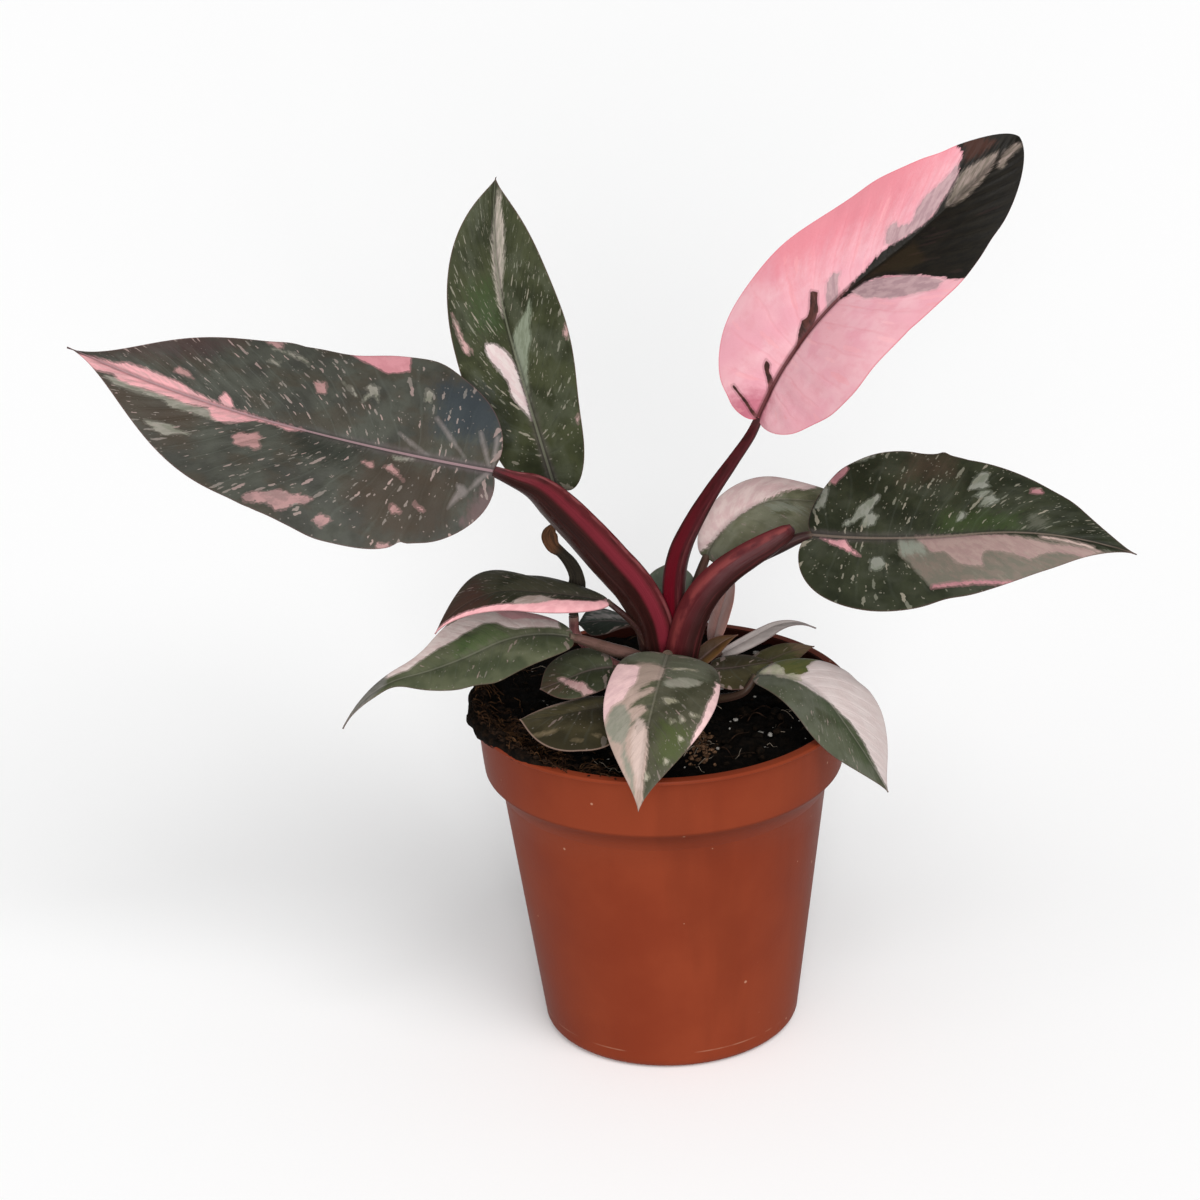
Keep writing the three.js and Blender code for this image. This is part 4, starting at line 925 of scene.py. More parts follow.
leafOliveRight = {
    **smallLeaf,
    "node": "blade_olive_right", "rows": 44, "columns": 28,
    "base": (28, 6, 116.5), "length": 22, "left": 5.5, "right": 5.5,
    "heading": (14, 17, 14), "pitch": (13, 15, -2), "roll": (17, 17, 19),
    "widest": 0.39, "shoulder": 0.32,
    "look": {**smallLook, "dark": "413d27", "light": "524c33", "tint": "5d573a"},
    "marks": {
        "bright": patch("545334", "48482c", 0.5, [(8, -0.6), (17, -0.8), (17, -3), (12, -5.5),
            (8, -5.5)], soft=0.8),
        "beige": tint("6f5947", 2, 0.8, 1, [(15, -3), (22, -2), (22, 2), (16, 3)]),
    },
}
growLeaf("LeafOliveRight", leafOliveRight)

leafInnerBackLeft = {
    **smallLeaf,
    "node": "blade_crown_back_left", "rows": 40, "columns": 26,
    "base": (-7, 9, 131.5), "length": 19, "left": 6, "right": 6,
    "heading": (178, 179, 180), "pitch": (18, 1, -9), "roll": (-13, -23, -24),
    "widest": 0.68, "lobe": 0, "lobeSpread": 0, "shoulder": 0.2,
    "look": {**smallLook, "dark": "222721", "light": "2e3530", "tint": "3e4643"},
    "marks": {
        "streaks": patch("726e6c", "605d5b", 0.6, [(3, -1), (16, -1.2), (16, -2.2), (5, -2.6)],
            [(5, -3.4), (14, -3.6), (12, -4.6)], soft=0.4),
    },
}
growLeaf("LeafInnerBackLeft", leafInnerBackLeft)

leafPaleBack = {
    **smallLeaf,
    "node": "blade_pale_back", "slot": "mixed_blade", "rows": 48, "columns": 36,
    "base": (17, 13, 122.5), "length": 24, "left": 9, "right": 11,
    "heading": (60, 58, 58), "pitch": (60, 52, 46), "roll": (-45, -45, -50),
    "widest": 0.45, "lobe": 0.07, "shoulder": 0.32, "drip": 0.12,
    "fold": 12, "curl": -20,
    "look": {
        **plainLook, "dark": "916961", "light": "9d756c", "deep": "876058", "tint": "a98076",
        "under": "8c625a",
    },
    "marks": {},
}
growLeaf("LeafPaleBack", leafPaleBack)

leafInnerBack = {
    **smallLeaf,
    "node": "blade_crown_back", "rows": 40, "columns": 32,
    "base": (4.5, 15, 131), "length": 18, "left": 8, "right": 7.5,
    "heading": (90, 90, 90), "pitch": (54, 52, 44), "roll": (0, 0, 0),
    "widest": 0.56, "lobe": 0.06, "lobeSpread": 0.5, "shoulder": 0.3, "drip": 0.08, "dripSpread": 0.3,
    "curl": -20,
    "look": {**smallLook, "dark": "484f42", "light": "585f52", "tint": "676e61"},
    "marks": {},
}
growLeaf("LeafInnerBack", leafInnerBack)

drySheath = {
    **smallLeaf,
    "node": "dry_sheath", "slot": "dry_petiole", "rows": 36, "columns": 20,
    "base": (11.5, 0.5, 121.6), "length": 16, "left": 3.2, "right": 3.2,
    "heading": (30, 28, 20), "pitch": (30, 24, 10), "roll": (40, 30, 20),
    "widest": 0.35, "lobe": 0, "lobeSpread": 0.9, "shoulder": 0.3, "drip": 0.2, "dripSpread": 0.3,
    "fold": 18, "curl": 0,
    "look": {
        **smallLook, "dark": "33210f", "light": "4b3219", "tint": "5c4222", "vein": "2a1a0e",
        "veinShare": 0.6, "under": "2a1a10", "dashes": [],
    },
    "marks": {},
}
growLeaf("DrySheath", drySheath)


# Petioles and the stem

def wingedSection(shape, turn):  # a broad petiole with a shallow channel between two soft wings
    x, lift = np.cos(turn), np.sin(turn)
    body = np.where(lift > 0, 0.35 * lift, -(np.abs(lift) ** 0.9))
    return x, shape["channel"] * (x * x - 0.5) + shape["keel"] * body


def roundSection(shape, turn):
    return np.cos(turn), shape["keel"] * np.sin(turn)


def sweep(name, shape):  # a tube drawn along its route, open ends filled
    tube = addGrid(name, shape["rings"], shape["sides"])
    spots = placesOf(tube)
    t, turn = spots[:, 0] + 0.5, (spots[:, 1] + 0.5) * 2 * math.pi
    route = np.asarray(shape["route"], float)
    centre, ahead = smoothRoute(route[:, :3], t)
    width = smoothRoute(route[:, 3:], t)[0][:, 0]
    ahead, face = unit(ahead), np.asarray(shape["face"], float)
    up = unit(face - ahead * (ahead @ face)[:, None])
    left = np.cross(up, ahead)
    x, lift = shape["section"](shape, turn)
    uneven = np.array([noise.noise(Vector(c) * 0.16) for c in centre])
    width = width * (1 + shape["uneven"] * uneven)
    layOut(tube, centre + left * (x * width / 2)[:, None] + up * (lift * width)[:, None])

    length = np.linalg.norm(np.diff(route[:, :3], axis=0), axis=1).sum()
    around = turn / (2 * math.pi) * np.mean(width) * 2.6
    mark(tube, "across", x)
    mark(tube, "top", np.sin(turn))
    mark(tube, "run", np.column_stack([t * length, around, 0 * t]), "FLOAT_VECTOR")
    mark(tube, "share", t)
    closeUp(tube, fill=True)
    return tube


def petioleFinish(name, look):
    material = newMaterial(name, 0.4, 0.1)
    across, top, share = (reading(key) for key in ("across", "top", "share"))
    run = reading("run", "Vector")
    streak = grain(stretch(run, 0.05, 1.1, 1), 1, 4)
    mottle = grain(stretch(run, 0.16, 0.4, 1), 1)
    side = calc("MULTIPLY_ADD", streak, 0.5, across)
    flank = between(side, look["turn"] - 0.15, look["turn"] + 0.65)
    shade = mix(flank, look["near"], look["far"])
    shade = mix(times(between(mottle, 0.5, 0.66), look["blotchShare"]), shade, look["blotch"])
    shade = mix(times(between(streak, 0.52, 0.7), 0.35), shade, look["streak"])

    # the crimson stripe down the channel, widest at the foot, and a thin pale line beside it, a painted
    # highlight
    stripe, line = look["stripe"], look["line"]
    fromStripe = calc("ABSOLUTE", calc("SUBTRACT", across, stripe["at"]))
    beside = calc("SUBTRACT", fromStripe, straight(share, 0, 1, *stripe["widths"]))
    band = times(between(beside, 0.2, -0.1), between(top, 0, 0.2))
    band = times(band, straight(share, 0, 1, *stripe["shares"]))
    shade = mix(band, shade, stripe["colour"])
    below = mix(flank, look.get("upperUnder", look["under"]), look["under"])
    below = mix(times(between(streak, 0.5, 0.7), 0.4), below, look["streak"])
    shade = mix(between(top, -0.1, -0.5), shade, below)
    # a painted highlight: a thin pale line along one edge, broken up by the mottling
    fromHighlight = calc("ABSOLUTE", calc("SUBTRACT", across, line["at"]))
    highlightLine = times(between(fromHighlight, 0.12, 0.02), line["share"], between(mottle, 0.35, 0.6))
    shade = mix(highlightLine, shade, line["colour"])
    shade = mix(times(between(share, 0.9, 1), 0.6), shade, look["end"])
    height = calc("MULTIPLY_ADD", mottle, 0.5, streak)
    paint(shade, straight(streak, 0.3, 0.7, 0.32, 0.5), height, 0.4, 0.6)
    return material


crimson = {
    "near": "441518", "far": "27120f",
    "turn": -0.1,  # where across the petiole the one colour gives way to the other
    "under": "35201b", "blotch": "180b08", "blotchShare": 0.5, "streak": "4c201f", "end": "3c2526",
    "stripe": {"at": -0.28, "widths": (0.3, 0.14), "shares": (0.95, 0.35), "colour": "6b202b"},
    # the line is a painted highlight along the upper edge
    "line": {"at": -0.86, "share": 0.6, "colour": "7c4445"},
}
dusky = {  # the slender petioles low in the middle, without the stripe and the painted highlight line
    **crimson, "near": "4a3029", "far": "382620", "under": "2b1c17", "blotch": "2e2418",
    "streak": "5a4038", "end": "4a4034",
    "stripe": {**crimson["stripe"], "shares": (0, 0)},
    "line": {**crimson["line"], "share": 0},
}
rosy = {
    **dusky, "near": "644840", "far": "543d37", "under": "40312a", "streak": "765850", "end": "5f5448",
}
winged = {
    "section": wingedSection, "rings": 90, "sides": 40, "channel": 0.24, "keel": 0.42, "uneven": 0.03,
    "look": crimson,
}
slender = {
    "section": roundSection, "rings": 40, "sides": 16, "keel": 0.5, "face": (0, 0, 1), "uneven": 0.03,
    "look": dusky,
}


def growPetiole(name, shape, leaf=None):
    if leaf:
        shape = {**shape, "route": shape["route"] + [(*leaf["base"], shape["end"])]}
    tube = sweep(name, shape)
    handOver(tube, petioleFinish(name + "Skin", shape["look"]), ["stem_and_petioles"], 70)
    print("petiole", name)


# Each route is a list of places with the petiole's width there. "face" is the way its channel looks,
# and "end" is its width at the base of the blade.
petioleLeft = {
    **winged, "face": (0.5, -0.55, 0.65), "end": 3.4,
    "route": [
        (1, -2, 117, 12), (0, -2.2, 127, 13), (-2, -2.6, 138, 13.4), (-7, -3.2, 149, 13.6),
        (-14, -3.8, 158.5, 13.4), (-22, -4.4, 169, 12.6), (-30, -4.8, 178.5, 11.4),
        (-36, -5.3, 184.5, 8.6), (-43, -5.7, 188, 5.2),
    ],
}
growPetiole("PetioleLeft", petioleLeft, leafLeft)

petiolePink = {
    **winged, "channel": 0.1, "keel": 0.6, "face": (-0.6, -0.7, 0.2), "end": 2.8,
    "route": [
        (4, 3, 118, 8), (4.2, 3, 132, 7.8), (4.6, 3.2, 147, 7.3), (6.5, 3.3, 157, 6.9),
        (10.5, 3.4, 166, 6), (17, 3.6, 177, 4.8), (24, 3.8, 187, 3.9), (29.5, 3.9, 195, 3.2),
    ],
    "look": {
        **crimson, "near": "3b1216", "far": "3a1013", "streak": "461a1d",
        "stripe": {"at": 0.1, "widths": (0.6, 0.3), "shares": (1.5, -0.7), "colour": "580a17"},
        # the line is a painted highlight along the upper edge
        "line": {"at": -0.8, "share": 0.5, "colour": "5a2a2a"},
    },
}
growPetiole("PetiolePink", petiolePink, leafPink)

petioleRight = {
    **slender, "end": 2.8, "look": {**dusky, "near": "2c1a1a", "far": "241513", "under": "1f1210"},
    "route": [(22, 0.5, 151, 5), (30, 0.9, 156, 4.8), (38, 1.3, 159.6, 4.6), (44, 1.8, 161.6, 3.4)],
}
growPetiole("PetioleRight", petioleRight, leafRight)

petioleUpright = {
    **slender, "end": 2.8, "look": crimson,
    "route": [
        (1, 4, 116, 7), (-4, 7, 135, 5.5), (-11, 10, 149, 4.8), (-22, 19, 160, 4),
        (-28.5, 26.5, 167, 3.2),
    ],
}
growPetiole("PetioleUpright", petioleUpright, leafUpright)

petioleBack = {**slender, "route": [(5, 4, 117, 6), (8, 10, 130, 4), (13, 19, 142, 3.2)], "end": 2.6}
growPetiole("PetioleBack", petioleBack, leafBack)

petioleFront = {**slender, "route": [(2, -3, 118, 6), (2, -9, 126, 5)], "end": 3.4}
growPetiole("PetioleFront", petioleFront, leafFront)

petioleFrontRight = {
    **slender, "end": 2.4, "look": {**dusky, "near": "2e211a", "far": "241a14"},
    "route": [(6, -3, 112, 5), (15, -9.5, 113.4, 3.2), (24.5, -14, 117, 2.6)],
}
growPetiole("PetioleFrontRight", petioleFrontRight, leafFrontRight)

petioleLeftUpper = {
    **slender, "end": 1.8, "look": {**dusky, "near": "351a1a", "far": "2a1614"},
    "route": [(-1, -3, 118, 4), (-4.6, -6, 132, 2.4), (-9, -7.2, 140, 2)],
}
growPetiole("PetioleLeftUpper", petioleLeftUpper, leafLeftUpper)

petioleLeftLower = {
    **slender, "end": 2.4, "look": rosy,
    "route": [
        (-2, -4, 119, 6), (-7, -7.6, 127.4, 4.6), (-15.5, -10.4, 132.2, 4), (-23, -12.6, 136.2, 3.2),
    ],
}
growPetiole("PetioleLeftLower", petioleLeftLower, leafLeftLower)

short = {**slender, "face": (0.1, 0.3, 1), "rings": 24, "sides": 12}
shortPetioles = {  # the short stalks in the middle: route, width at the blade, and the blade
    "PetioleInnerLeft": ([(-3, -4, 114, 5), (-8, -9.5, 121, 3)], 2, leafInnerLeft),
    "PetioleOverSoil": ([(-2, -5, 111, 5), (-6, -14, 116, 3)], 2, leafOverSoil),
    "PetioleInnerRight": ([(6, -1, 118, 5), (12, -3, 119.5, 3)], 2, leafInnerRight),
    "PetioleNarrowRight": ([(5, 3, 115, 5), (13, 7, 117.6, 2.8)], 1.8, leafNarrowRight),
    "PetioleOliveRight": ([(6, 2, 111, 5), (17, 4.4, 112.6, 3)], 2, leafOliveRight),
    "PetioleInnerBackLeft": ([(0, 4, 117, 5), (-4, 7.4, 127, 3)], 1.8, leafInnerBackLeft),
    "PetiolePaleBack": ([(5, 3, 113, 5), (11, 8.4, 116, 3.4)], 2, leafPaleBack),
    "PetioleInnerBack": ([(4, 5, 116, 5), (5, 11, 126, 3.4)], 2, leafInnerBack),
}
for name, (route, end, leaf) in shortPetioles.items():
    growPetiole(name, {**short, "route": route, "end": end}, leaf)

rightSheath = {  # the sheath of the right petiole, which ends free just short of the blade
    **winged, "face": (-0.4, 0.75, 0.5),
    "route": [
        (5, -1, 117, 12), (7, -0.8, 127, 11.4), (10, -0.3, 138, 11.4), (14.5, 0, 146.5, 11.2),
        (21, 0.5, 153, 10.6), (28, 0.9, 157.6, 9.6), (35, 1.3, 161.4, 8.4), (40, 1.5, 164.2, 6.2),
        (42, 1.6, 165.6, 3.2),
    ],
    "look": {
        **crimson, "turn": -0.6, "under": "250f0d", "upperUnder": "431317", "streak": "5e2528",
        # the line is a painted highlight along the upper edge
        "line": {"at": -0.9, "share": 0.7, "colour": "70302f"},
    },
}
growPetiole("RightSheath", rightSheath)

stump = {  # what still lives of an old petiole, below the dried stalk
    **slender, "face": (0, -1, 0),
    "route": [
        (-2, 2, 113, 5), (-12, 4, 119, 3.2), (-21, 4.8, 125, 3), (-26, 5, 131, 3), (-26.5, 5, 137, 3.2),
    ],
    "look": {**rosy, "near": "8c5a58", "far": "7c4e4f", "under": "6d4440"},
}
growPetiole("Stump", stump)

shortStem = {  # the short stem that the petioles grow from
    **slender, "face": (0, -1, 0), "rings": 30, "sides": 40,
    "route": [(3, 0, 96, 14.4), (3, 0, 106, 14.8), (3, 0, 114, 14.2), (3, 0, 119, 9), (3, 0, 121, 2)],
    "look": {**dusky, "near": "2c1512", "far": "24110f", "end": "24110f"},
}
growPetiole("ShortStem", shortStem)


# The dead upper part of the old petiole, with a shrivelled curl at its end

dryStalk = {
    "section": wingedSection, "rings": 90, "sides": 24, "channel": 0.3, "keel": 0.5,
    "face": (0, -1, 0), "uneven": 0.5,
    "route": [
        (-26.5, 5, 137.4, 3.4), (-26, 5, 143, 3.8), (-25, 5, 149.5, 4.2), (-26.4, 5, 154.4, 3.8),
        (-29.4, 5, 158.6, 3.2), (-32, 5, 161.2, 4), (-32.9, 5, 165, 4.4), (-31.6, 5, 168, 1.6),
    ],
    "stalk": "241f16", "curl": "50331f", "streak": "14100c",
}


def dryFinish(name):
    material = newMaterial(name, 0.85, 0.18)
    streak = grain(stretch(reading("run", "Vector"), 0.12, 1.4, 1), 1, 4)
    shade = mix(between(reading("share"), 0.55, 0.72), dryStalk["stalk"], dryStalk["curl"])
    shade = mix(times(between(streak, 0.45, 0.65), 0.6), shade, dryStalk["streak"])
    paint(shade, straight(streak, 0.3, 0.7, 0.6, 0.9), streak, 1.2, 0.9)
    return material


handOver(sweep("DryStalk", dryStalk), dryFinish("DryStalkSkin"), ["dry_stalk"], 70)
print("dried stalk")


# Pot

pot = {
    "steps": 192,
    "wall": 1.5,
    "floor": 2,
    "holes": 8,
    "holeRadius": 3.2,
    "holeCircle": 29,
    "foot": (40.6, 3.4),  # radius, and the height of its rounding
    "waist": (51, 82.2),  # radius and height, like the next two
    "collarFoot": (56.2, 89.5),
    "collarTop": (58.4, 108.2),
    "lip": (60.2, 108.6, 110),  # radius, underside and top
    "groove": (33, 34.5, 0.4),  # a fine one under the foot: its radii and depth
    "plastic": "6a2a17",
    "bright": "72301b",
    "shadow": "562212",
    # the inside wall's colour: dust, and painted shade
    "inside": "2c110b",
    "dust": "a98069",
    "specks": {"scale": 220, "rare": 0.7, "size": 0.45, "share": 0.6},
    # painted shade: the step under the collar is darkened in the colour
    "ledgeShade": {"colour": "3d150b", "heights": (82, 88.5, 89.6, 90.6)},  # the shaded step under the collar
    "footLine": 5.8,  # height of the faint line above the foot
}


def potProfile():  # the outside from the foot to the lip, then the inside down to the floor
    footR, rounding = pot["foot"]
    waistR, waistZ = pot["waist"]
    collarR, collarZ = pot["collarFoot"]
    topR, topZ = pot["collarTop"]
    lipR, lipZ, top = pot["lip"]
    wall, floor = pot["wall"], pot["floor"]
    inner, outer, depth = pot["groove"]
    points = [(0, 0), (inner, 0), (inner + 0.3, depth), (outer - 0.3, depth), (outer, 0)]
    for angle in np.linspace(1, 0, 7) * math.pi / 2:
        points.append((footR - rounding * (1 - math.cos(angle)), rounding * (1 - math.sin(angle))))
    for share in np.linspace(0.1, 1, 10):
        points.append((footR + (waistR - footR) * share, rounding + (waistZ - rounding) * share))
    for share in np.linspace(0.08, 1, 12):  # the shoulder swings out under the collar
        swing = bezier(0, 0.35, 0.55, 1, share)
        points.append((waistR + (collarR - waistR) * swing, waistZ + (collarZ - waistZ) * share))
    points += [(collarR + 0.15, collarZ + 0.35), (collarR + 0.25, collarZ + 1)]
    points += [(collarR + 0.6, collarZ + 4), (topR - 0.9, topZ - 7), (topR - 0.1, topZ - 1)]
    points += [(topR, topZ), (topR + 0.4, lipZ - 0.05), (lipR - 0.3, lipZ), (lipR, lipZ + 0.3)]
    points += [(lipR, top - 0.5), (lipR - 0.15, top - 0.15), (lipR - 0.5, top)]
    points += [(topR - wall + 0.4, top), (topR - wall, top - 0.4), (collarR - wall, collarZ + 0.5)]
    points += [(waistR - wall, waistZ - 1), (footR - wall, floor + 2)]
    points += [(footR - wall - 2, floor), (0, floor)]
    return np.array(points)


def potFinish():
    material = newMaterial("PotPlastic", 0.5, 0.05)
    spot = objectSpot()
    cloud = grain(spot, 22, 4)
    flow = grain(stretch(spot, 1, 1, 0.12), 60)
    shade = mix(between(cloud, 0.35, 0.65), pot["plastic"], pot["bright"])
    shade = mix(times(between(flow, 0.5, 0.7), 0.25), shade, pot["shadow"])

    # specks of dust, painted shade on the step under the collar, and a faint pale line above the foot
    specks = pot["specks"]
    cells = addNode("ShaderNodeTexVoronoi", {"Vector": spot, "Scale": specks["scale"]})
    size = calc("MAXIMUM", calc("SUBTRACT", chances(cells)[0], specks["rare"]), 0)
    dirt = calc("SUBTRACT", times(size, specks["size"]), cells.outputs["Distance"])
    shade = mix(times(between(dirt, -0.01, 0.03), specks["share"]), shade, pot["dust"])
    height = split(spot)[2]
    # painted shade under the collar, darkest just below its foot
    low, dark, clear, high = (edge * mm for edge in pot["ledgeShade"]["heights"])
    ledgeShade = times(between(height, low, dark), between(height, high, clear), 0.4)
    shade = mix(ledgeShade, shade, pot["ledgeShade"]["colour"])
    # a faint pale line round the wall above the foot, broken by the flow streaks
    fromFootLine = calc("ABSOLUTE", calc("SUBTRACT", height, pot["footLine"] * mm))
    footLine = times(between(fromFootLine, 0.3 * mm, 0.1 * mm), between(flow, 0.45, 0.6), 0.35)
    shade = mix(footLine, shade, pot["dust"])

    # the inside of the wall faces the axis, and is painted darker: dust on it, and painted shade inside
    # the pot
    facing = {0: addNode("ShaderNodeNewGeometry").outputs["Normal"], 1: stretch(spot, 18, 18, 0)}
    outwards = addNode("ShaderNodeVectorMath", facing, operation="DOT_PRODUCT").outputs["Value"]
    shade = mix(between(outwards, -0.3, -0.6), shade, pot["inside"])
    height = calc("MULTIPLY_ADD", cloud, 0.3, grain(spot, 900, 2))
    paint(shade, straight(cloud, 0.3, 0.7, 0.42, 0.55), height, 0.08, 0.5)
    return material


def makePot():
    profile = potProfile()
    bpy.ops.object.select_all(action="DESELECT")
    bpy.ops.mesh.primitive_circle_add(vertices=len(profile), radius=1, fill_type="NOTHING")
    wall = bpy.context.object
    wall.name = wall.data.name = "Pot"
    layOut(wall, np.column_stack([profile[:, 0], 0 * profile[:, 0], profile[:, 1]]))
    for point in wall.data.vertices:
        point.select = abs(point.co.x) < 1e-6
    for edge in wall.data.edges:
        edge.select = all(wall.data.vertices[i].select for i in edge.vertices)
    bpy.ops.object.mode_set(mode="EDIT")
    bpy.ops.mesh.delete(type="EDGE")  # the edge that lies on the axis
    bpy.ops.mesh.select_all(action="SELECT")
    bpy.ops.mesh.spin(steps=pot["steps"], angle=2 * math.pi, center=(0, 0, 0), axis=(0, 0, 1))
    bpy.ops.object.mode_set(mode="OBJECT")
    closeUp(wall)

    drills = []
    for i in range(pot["holes"]):
        x, y = polar(pot["holeCircle"] * mm, 2 * math.pi * i / pot["holes"])
        bpy.ops.object.select_all(action="DESELECT")
        bpy.ops.mesh.primitive_cylinder_add(
            vertices=32, radius=pot["holeRadius"] * mm, depth=12 * mm, location=(x, y, 0)
        )
        bpy.ops.object.transform_apply(location=True, rotation=True, scale=True)
        drills.append(bpy.context.object)
    drill = joinAll(drills, "Drill")
    applyModifier(wall, "BOOLEAN", operation="DIFFERENCE", object=drill, solver="EXACT")
    bpy.data.objects.remove(drill)
    handOver(wall, potFinish(), ["pot"], 32)
    print("pot", len(wall.data.polygons), "faces")


makePot()


# Potting soil, with crumbs, fibres and fine roots lying on it

soil = {
    "level": 107,
    "underside": 2.3,
    "gap": 0.3,  # between the block and the pot
    "rise": 2.4,  # of the heap on the left
    "dip": 1.4,
    "sectors": 260,
    "rings": 84,
    "lipRidge": {"middle": 190, "reach": 44, "radius": 57.8, "level": 110, "width": 6.4},  # over the lip
    "spread": 51.84,  # radius of what is strewn over all of the soil
    "leftRim": {"angle": (216, 20), "radius": (46, 56)},  # the middle of the angles, and their spread
    "leftLip": {"angle": (196, 24), "radius": (54, 59)},
    "roots": {"x": (10.5, 2.6), "y": (-30, 5)},
    "skins": {  # dark and light tone, roughness, and how many clods
        "Peat": ("050403", "110c08", 0.9, 420),
        "DarkLipSkin": ("0b0806", "20160f", 0.9, 420),
        "CrumbPeat": ("080604", "1e150e", 0.9, 500),
        "RimPeat": ("120c08", "2e2118", 0.9, 500),
        "TanPeat": ("38271a", "6f5440", 0.85, 700),
        "PerliteSkin": ("7a7671", "a9a59f", 0.8, 900),
        "FibreSkin": ("21150e", "49321f", 0.85, 300),
        "DarkFibreSkin": ("150e09", "32231a", 0.85, 300),
        "RootSkin": ("4d453c", "7b7064", 0.6, 300),
    },
}


def soilHeight(x, y):
    heap = soil["rise"] * max(0, -x / pot["collarTop"][0]) ** 2
    lumps = math.sin(0.31 * x + 0.23 * y) + math.sin(0.47 * y - 0.19 * x + 1)
    lumps += math.sin(0.83 * x + 2) * 0.5
    spot = Vector((x, y, 0))
    clods = 1.1 * noise.fractal(spot * 0.16, 0.8, 2.1, 5)
    clods += 0.9 * (0.5 - noise.voronoi(spot * 0.42)[0][0])
    fine = 0.35 * (0.5 - noise.voronoi(spot * 1.1)[0][0])
    return soil["level"] + heap + soil["dip"] * lumps / 2.5 * 0.7 + clods + fine


def soilFinish(name):
    dark, light, rough, scale = soil["skins"][name]
    material = newMaterial(name, rough, 0.04)
    clods = grain(objectSpot(), scale, 5, 0.7)
    shade = mix(between(clods, 0.42, 0.68), dark, light)
    paint(shade, straight(clods, 0.3, 0.7, rough - 0.15, min(rough + 0.1, 1)), clods, 1.2, 1)
    return material


def makeSoil():
    inside = pot["wall"] + soil["gap"]
    wallTop = (pot["collarTop"][0] - inside, pot["lip"][2])
    wallFoot = (pot["collarFoot"][0] - inside, pot["collarFoot"][1] + 0.5)
    slant = (wallTop[0] - wallFoot[0]) / (wallTop[1] - wallFoot[1])
    footR, base = pot["foot"][0] - inside, soil["underside"]
    lower = [(0, base), (footR - 2, base), (footR, base + 2)]
    lower += [(pot["waist"][0] - inside, pot["waist"][1] - 1), wallFoot]
    rings = soil["rings"] + len(lower)
    block = addGrid("Soil", rings, soil["sectors"])
    spots = placesOf(block)
    ring = np.rint((spots[:, 0] + 0.5) * rings).astype(int)
    angle = (spots[:, 1] + 0.5) * 2 * math.pi
    points = np.empty((len(ring), 3))
    for k, (i, a) in enumerate(zip(ring, angle)):
        if i < len(lower):
            points[k] = *polar(lower[i][0], a), lower[i][1]
            continue
        share = 1 - (i - len(lower)) / soil["rings"]
        x, y = polar((wallFoot[0] + slant * (soil["level"] - wallFoot[1])) * share, a if share > 0 else 0)
        points[k] = x, y, soilHeight(x, y)
    layOut(block, points)
    closeUp(block)
    handOver(block, skins["Peat"], ["soil"], 80)
    print("soil", len(block.data.polygons), "faces")


def groundAt(x, y):  # the soil, or the dark ridge lying on the lip
    lipRidge = soil["lipRidge"]
    off = (math.degrees(math.atan2(y, x)) % 360 - lipRidge["middle"]) / lipRidge["reach"]
    half = 0.5 * (0.6 + lipRidge["width"] * math.sqrt(max(0, 1 - off * off)))
    aside = (math.hypot(x, y) - lipRidge["radius"]) / half
    if abs(aside) > 1:
        return soilHeight(x, y) if aside < 0 else lipRidge["level"]
    return lipRidge["level"] + 0.72 * half * math.sqrt(1 - aside * aside)


def ridgeOnLip():  # the ridge of soil lying over the lip on the left
    lipRidge = soil["lipRidge"]
    route = []
    for k in np.linspace(-1, 1, 17):
        angle = math.radians(lipRidge["middle"] + k * lipRidge["reach"])
        x, y = polar(lipRidge["radius"] + 0.4 * math.sin(9 * k), angle)
        route.append((x, y, lipRidge["level"], 0.6 + lipRidge["width"] * (1 - k * k) ** 0.5))
    shape = {**slender, "rings": 150, "sides": 24, "keel": 0.36, "uneven": 0.35, "route": route}
    # a dark ridge of peat laid over the lip on the left
    ridge = sweep("DarkLipRidge", shape)
    lumpy = placesOf(ridge) / mm
    for point in lumpy:
        spot = Vector(point)
        point[2] += 0.9 * noise.noise(spot * 0.5) + 0.5 * noise.noise(spot * 1.6)
    layOut(ridge, lumpy)
    handOver(ridge, skins["DarkLipSkin"], ["soil"], 80)


def anywhere():
    return polar(soil["spread"] * math.sqrt(random.random()), random.random() * 2 * math.pi)


def byRim(place):
    angle = math.radians(random.gauss(*place["angle"]))
    return polar(random.uniform(*place["radius"]), angle)


def byLeftRim():
    return byRim(soil["leftRim"])


def onLeftLip():
    return byRim(soil["leftLip"])


def byFrontRoots():
    return random.gauss(*soil["roots"]["x"]), random.gauss(*soil["roots"]["y"])


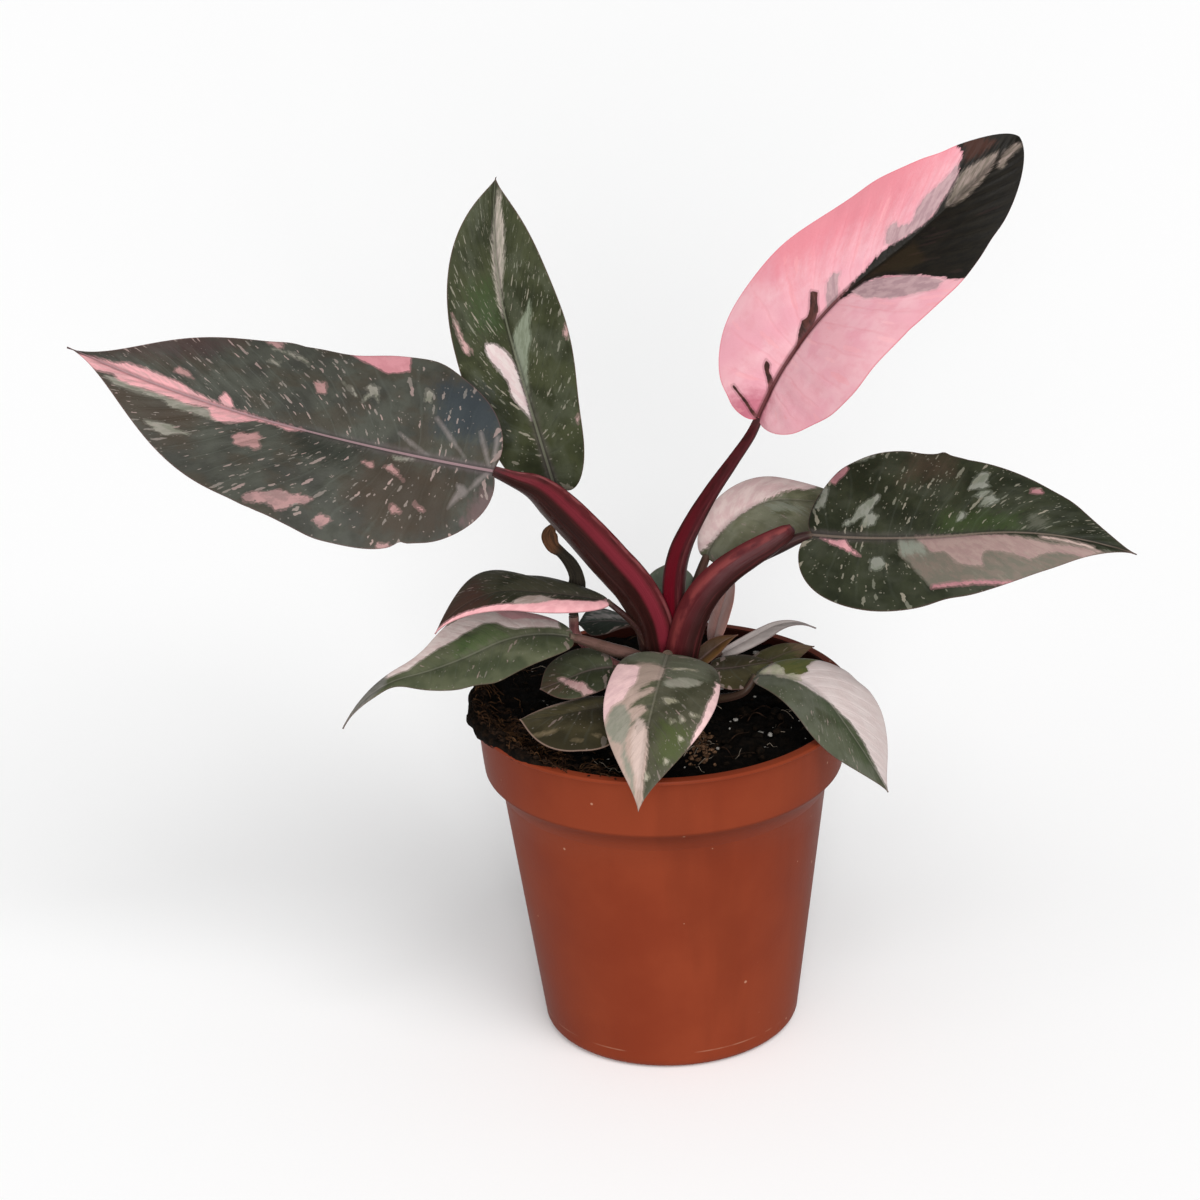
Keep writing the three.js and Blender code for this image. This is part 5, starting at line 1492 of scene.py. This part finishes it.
def scatterLumps(name, count, small, large, sink, skin, near):  # each with a shape of its own
    lumps = []
    bpy.ops.object.select_all(action="DESELECT")
    bpy.ops.mesh.primitive_ico_sphere_add(subdivisions=1, radius=1)
    first = bpy.context.object
    base = placesOf(first)
    for k in range(count):
        lump = first.copy()
        lump.data = first.data.copy()
        bpy.context.scene.collection.objects.link(lump)
        x, y = near()
        size = small + (large - small) * random.random() ** 2.5
        form = [1 + 0.5 * noise.noise(Vector(p) * 1.3 + Vector((k, 0, 0))) for p in base]
        squash = [random.uniform(*limits) for limits in ((0.7, 1.3), (0.7, 1.3), (0.5, 0.9))]
        turned = base * np.array(form)[:, None] * squash * size
        layOut(lump, turned + (x, y, groundAt(x, y) + size * sink))
        lumps.append(lump)
    bpy.data.objects.remove(first)
    handOver(joinAll(lumps, name), skins[skin], ["soil"], 80)


def scatterThreads(name, count, length, width, skin, near, edge):  # they turn back at the edge
    threads = []
    for _ in range(count):
        x, y = near()
        heading = random.random() * 2 * math.pi
        step = random.uniform(*length) / 4
        route = []
        for k in range(5):
            lift = random.uniform(0.1, 1.4) if 0 < k < 4 else -0.2
            route.append((x, y, groundAt(x, y) + lift, random.uniform(*width)))
            heading += random.uniform(-0.7, 0.7)
            ahead = polar(step, heading, x, y)
            if math.hypot(*ahead) > edge:
                heading += math.pi / 2
                ahead = polar(step, heading, x, y)
            x, y = (x * 0.9, y * 0.9) if math.hypot(*ahead) > edge else ahead
        threads.append(sweep("Thread", {**slender, "rings": 9, "sides": 4, "route": route}))
    handOver(joinAll(threads, name), skins[skin], ["soil"], 80)


crumbKinds = {  # how many, smallest and largest, how far they stand out, skin and where
    "SoilCrumbs": (240, 0.5, 2.4, 0.2, "CrumbPeat", anywhere),
    "RimCrumbs": (160, 0.4, 1.5, 0.2, "RimPeat", byLeftRim),
    "LipCrumbs": (160, 0.4, 1.3, 0.2, "RimPeat", onLeftLip),
    "TanCrumbs": (170, 0.35, 1.2, 0.4, "TanPeat", byFrontRoots),
    "Perlite": (80, 0.3, 1, 0.5, "PerliteSkin", anywhere),
}
threadKinds = {  # how many, length, width, skin, where, and how far out they may lie
    "SoilFibres": (150, (4, 11), (0.25, 0.6), "FibreSkin", byLeftRim, 56),
    "LipFibres": (90, (3, 8), (0.25, 0.5), "FibreSkin", onLeftLip, 59.5),
    "ScatteredFibres": (30, (4, 12), (0.25, 0.4), "DarkFibreSkin", anywhere, 53),
    "PaleThreads": (34, (4, 10), (0.2, 0.32), "RootSkin", anywhere, 53),
    "FineRoots": (9, (3, 7), (0.25, 0.35), "RootSkin", byFrontRoots, 53),
}
skins = {name: soilFinish(name) for name in soil["skins"]}
makeSoil()
ridgeOnLip()
for name, values in crumbKinds.items():
    scatterLumps(name, *values)
for name, values in threadKinds.items():
    scatterThreads(name, *values)
print("soil finished")
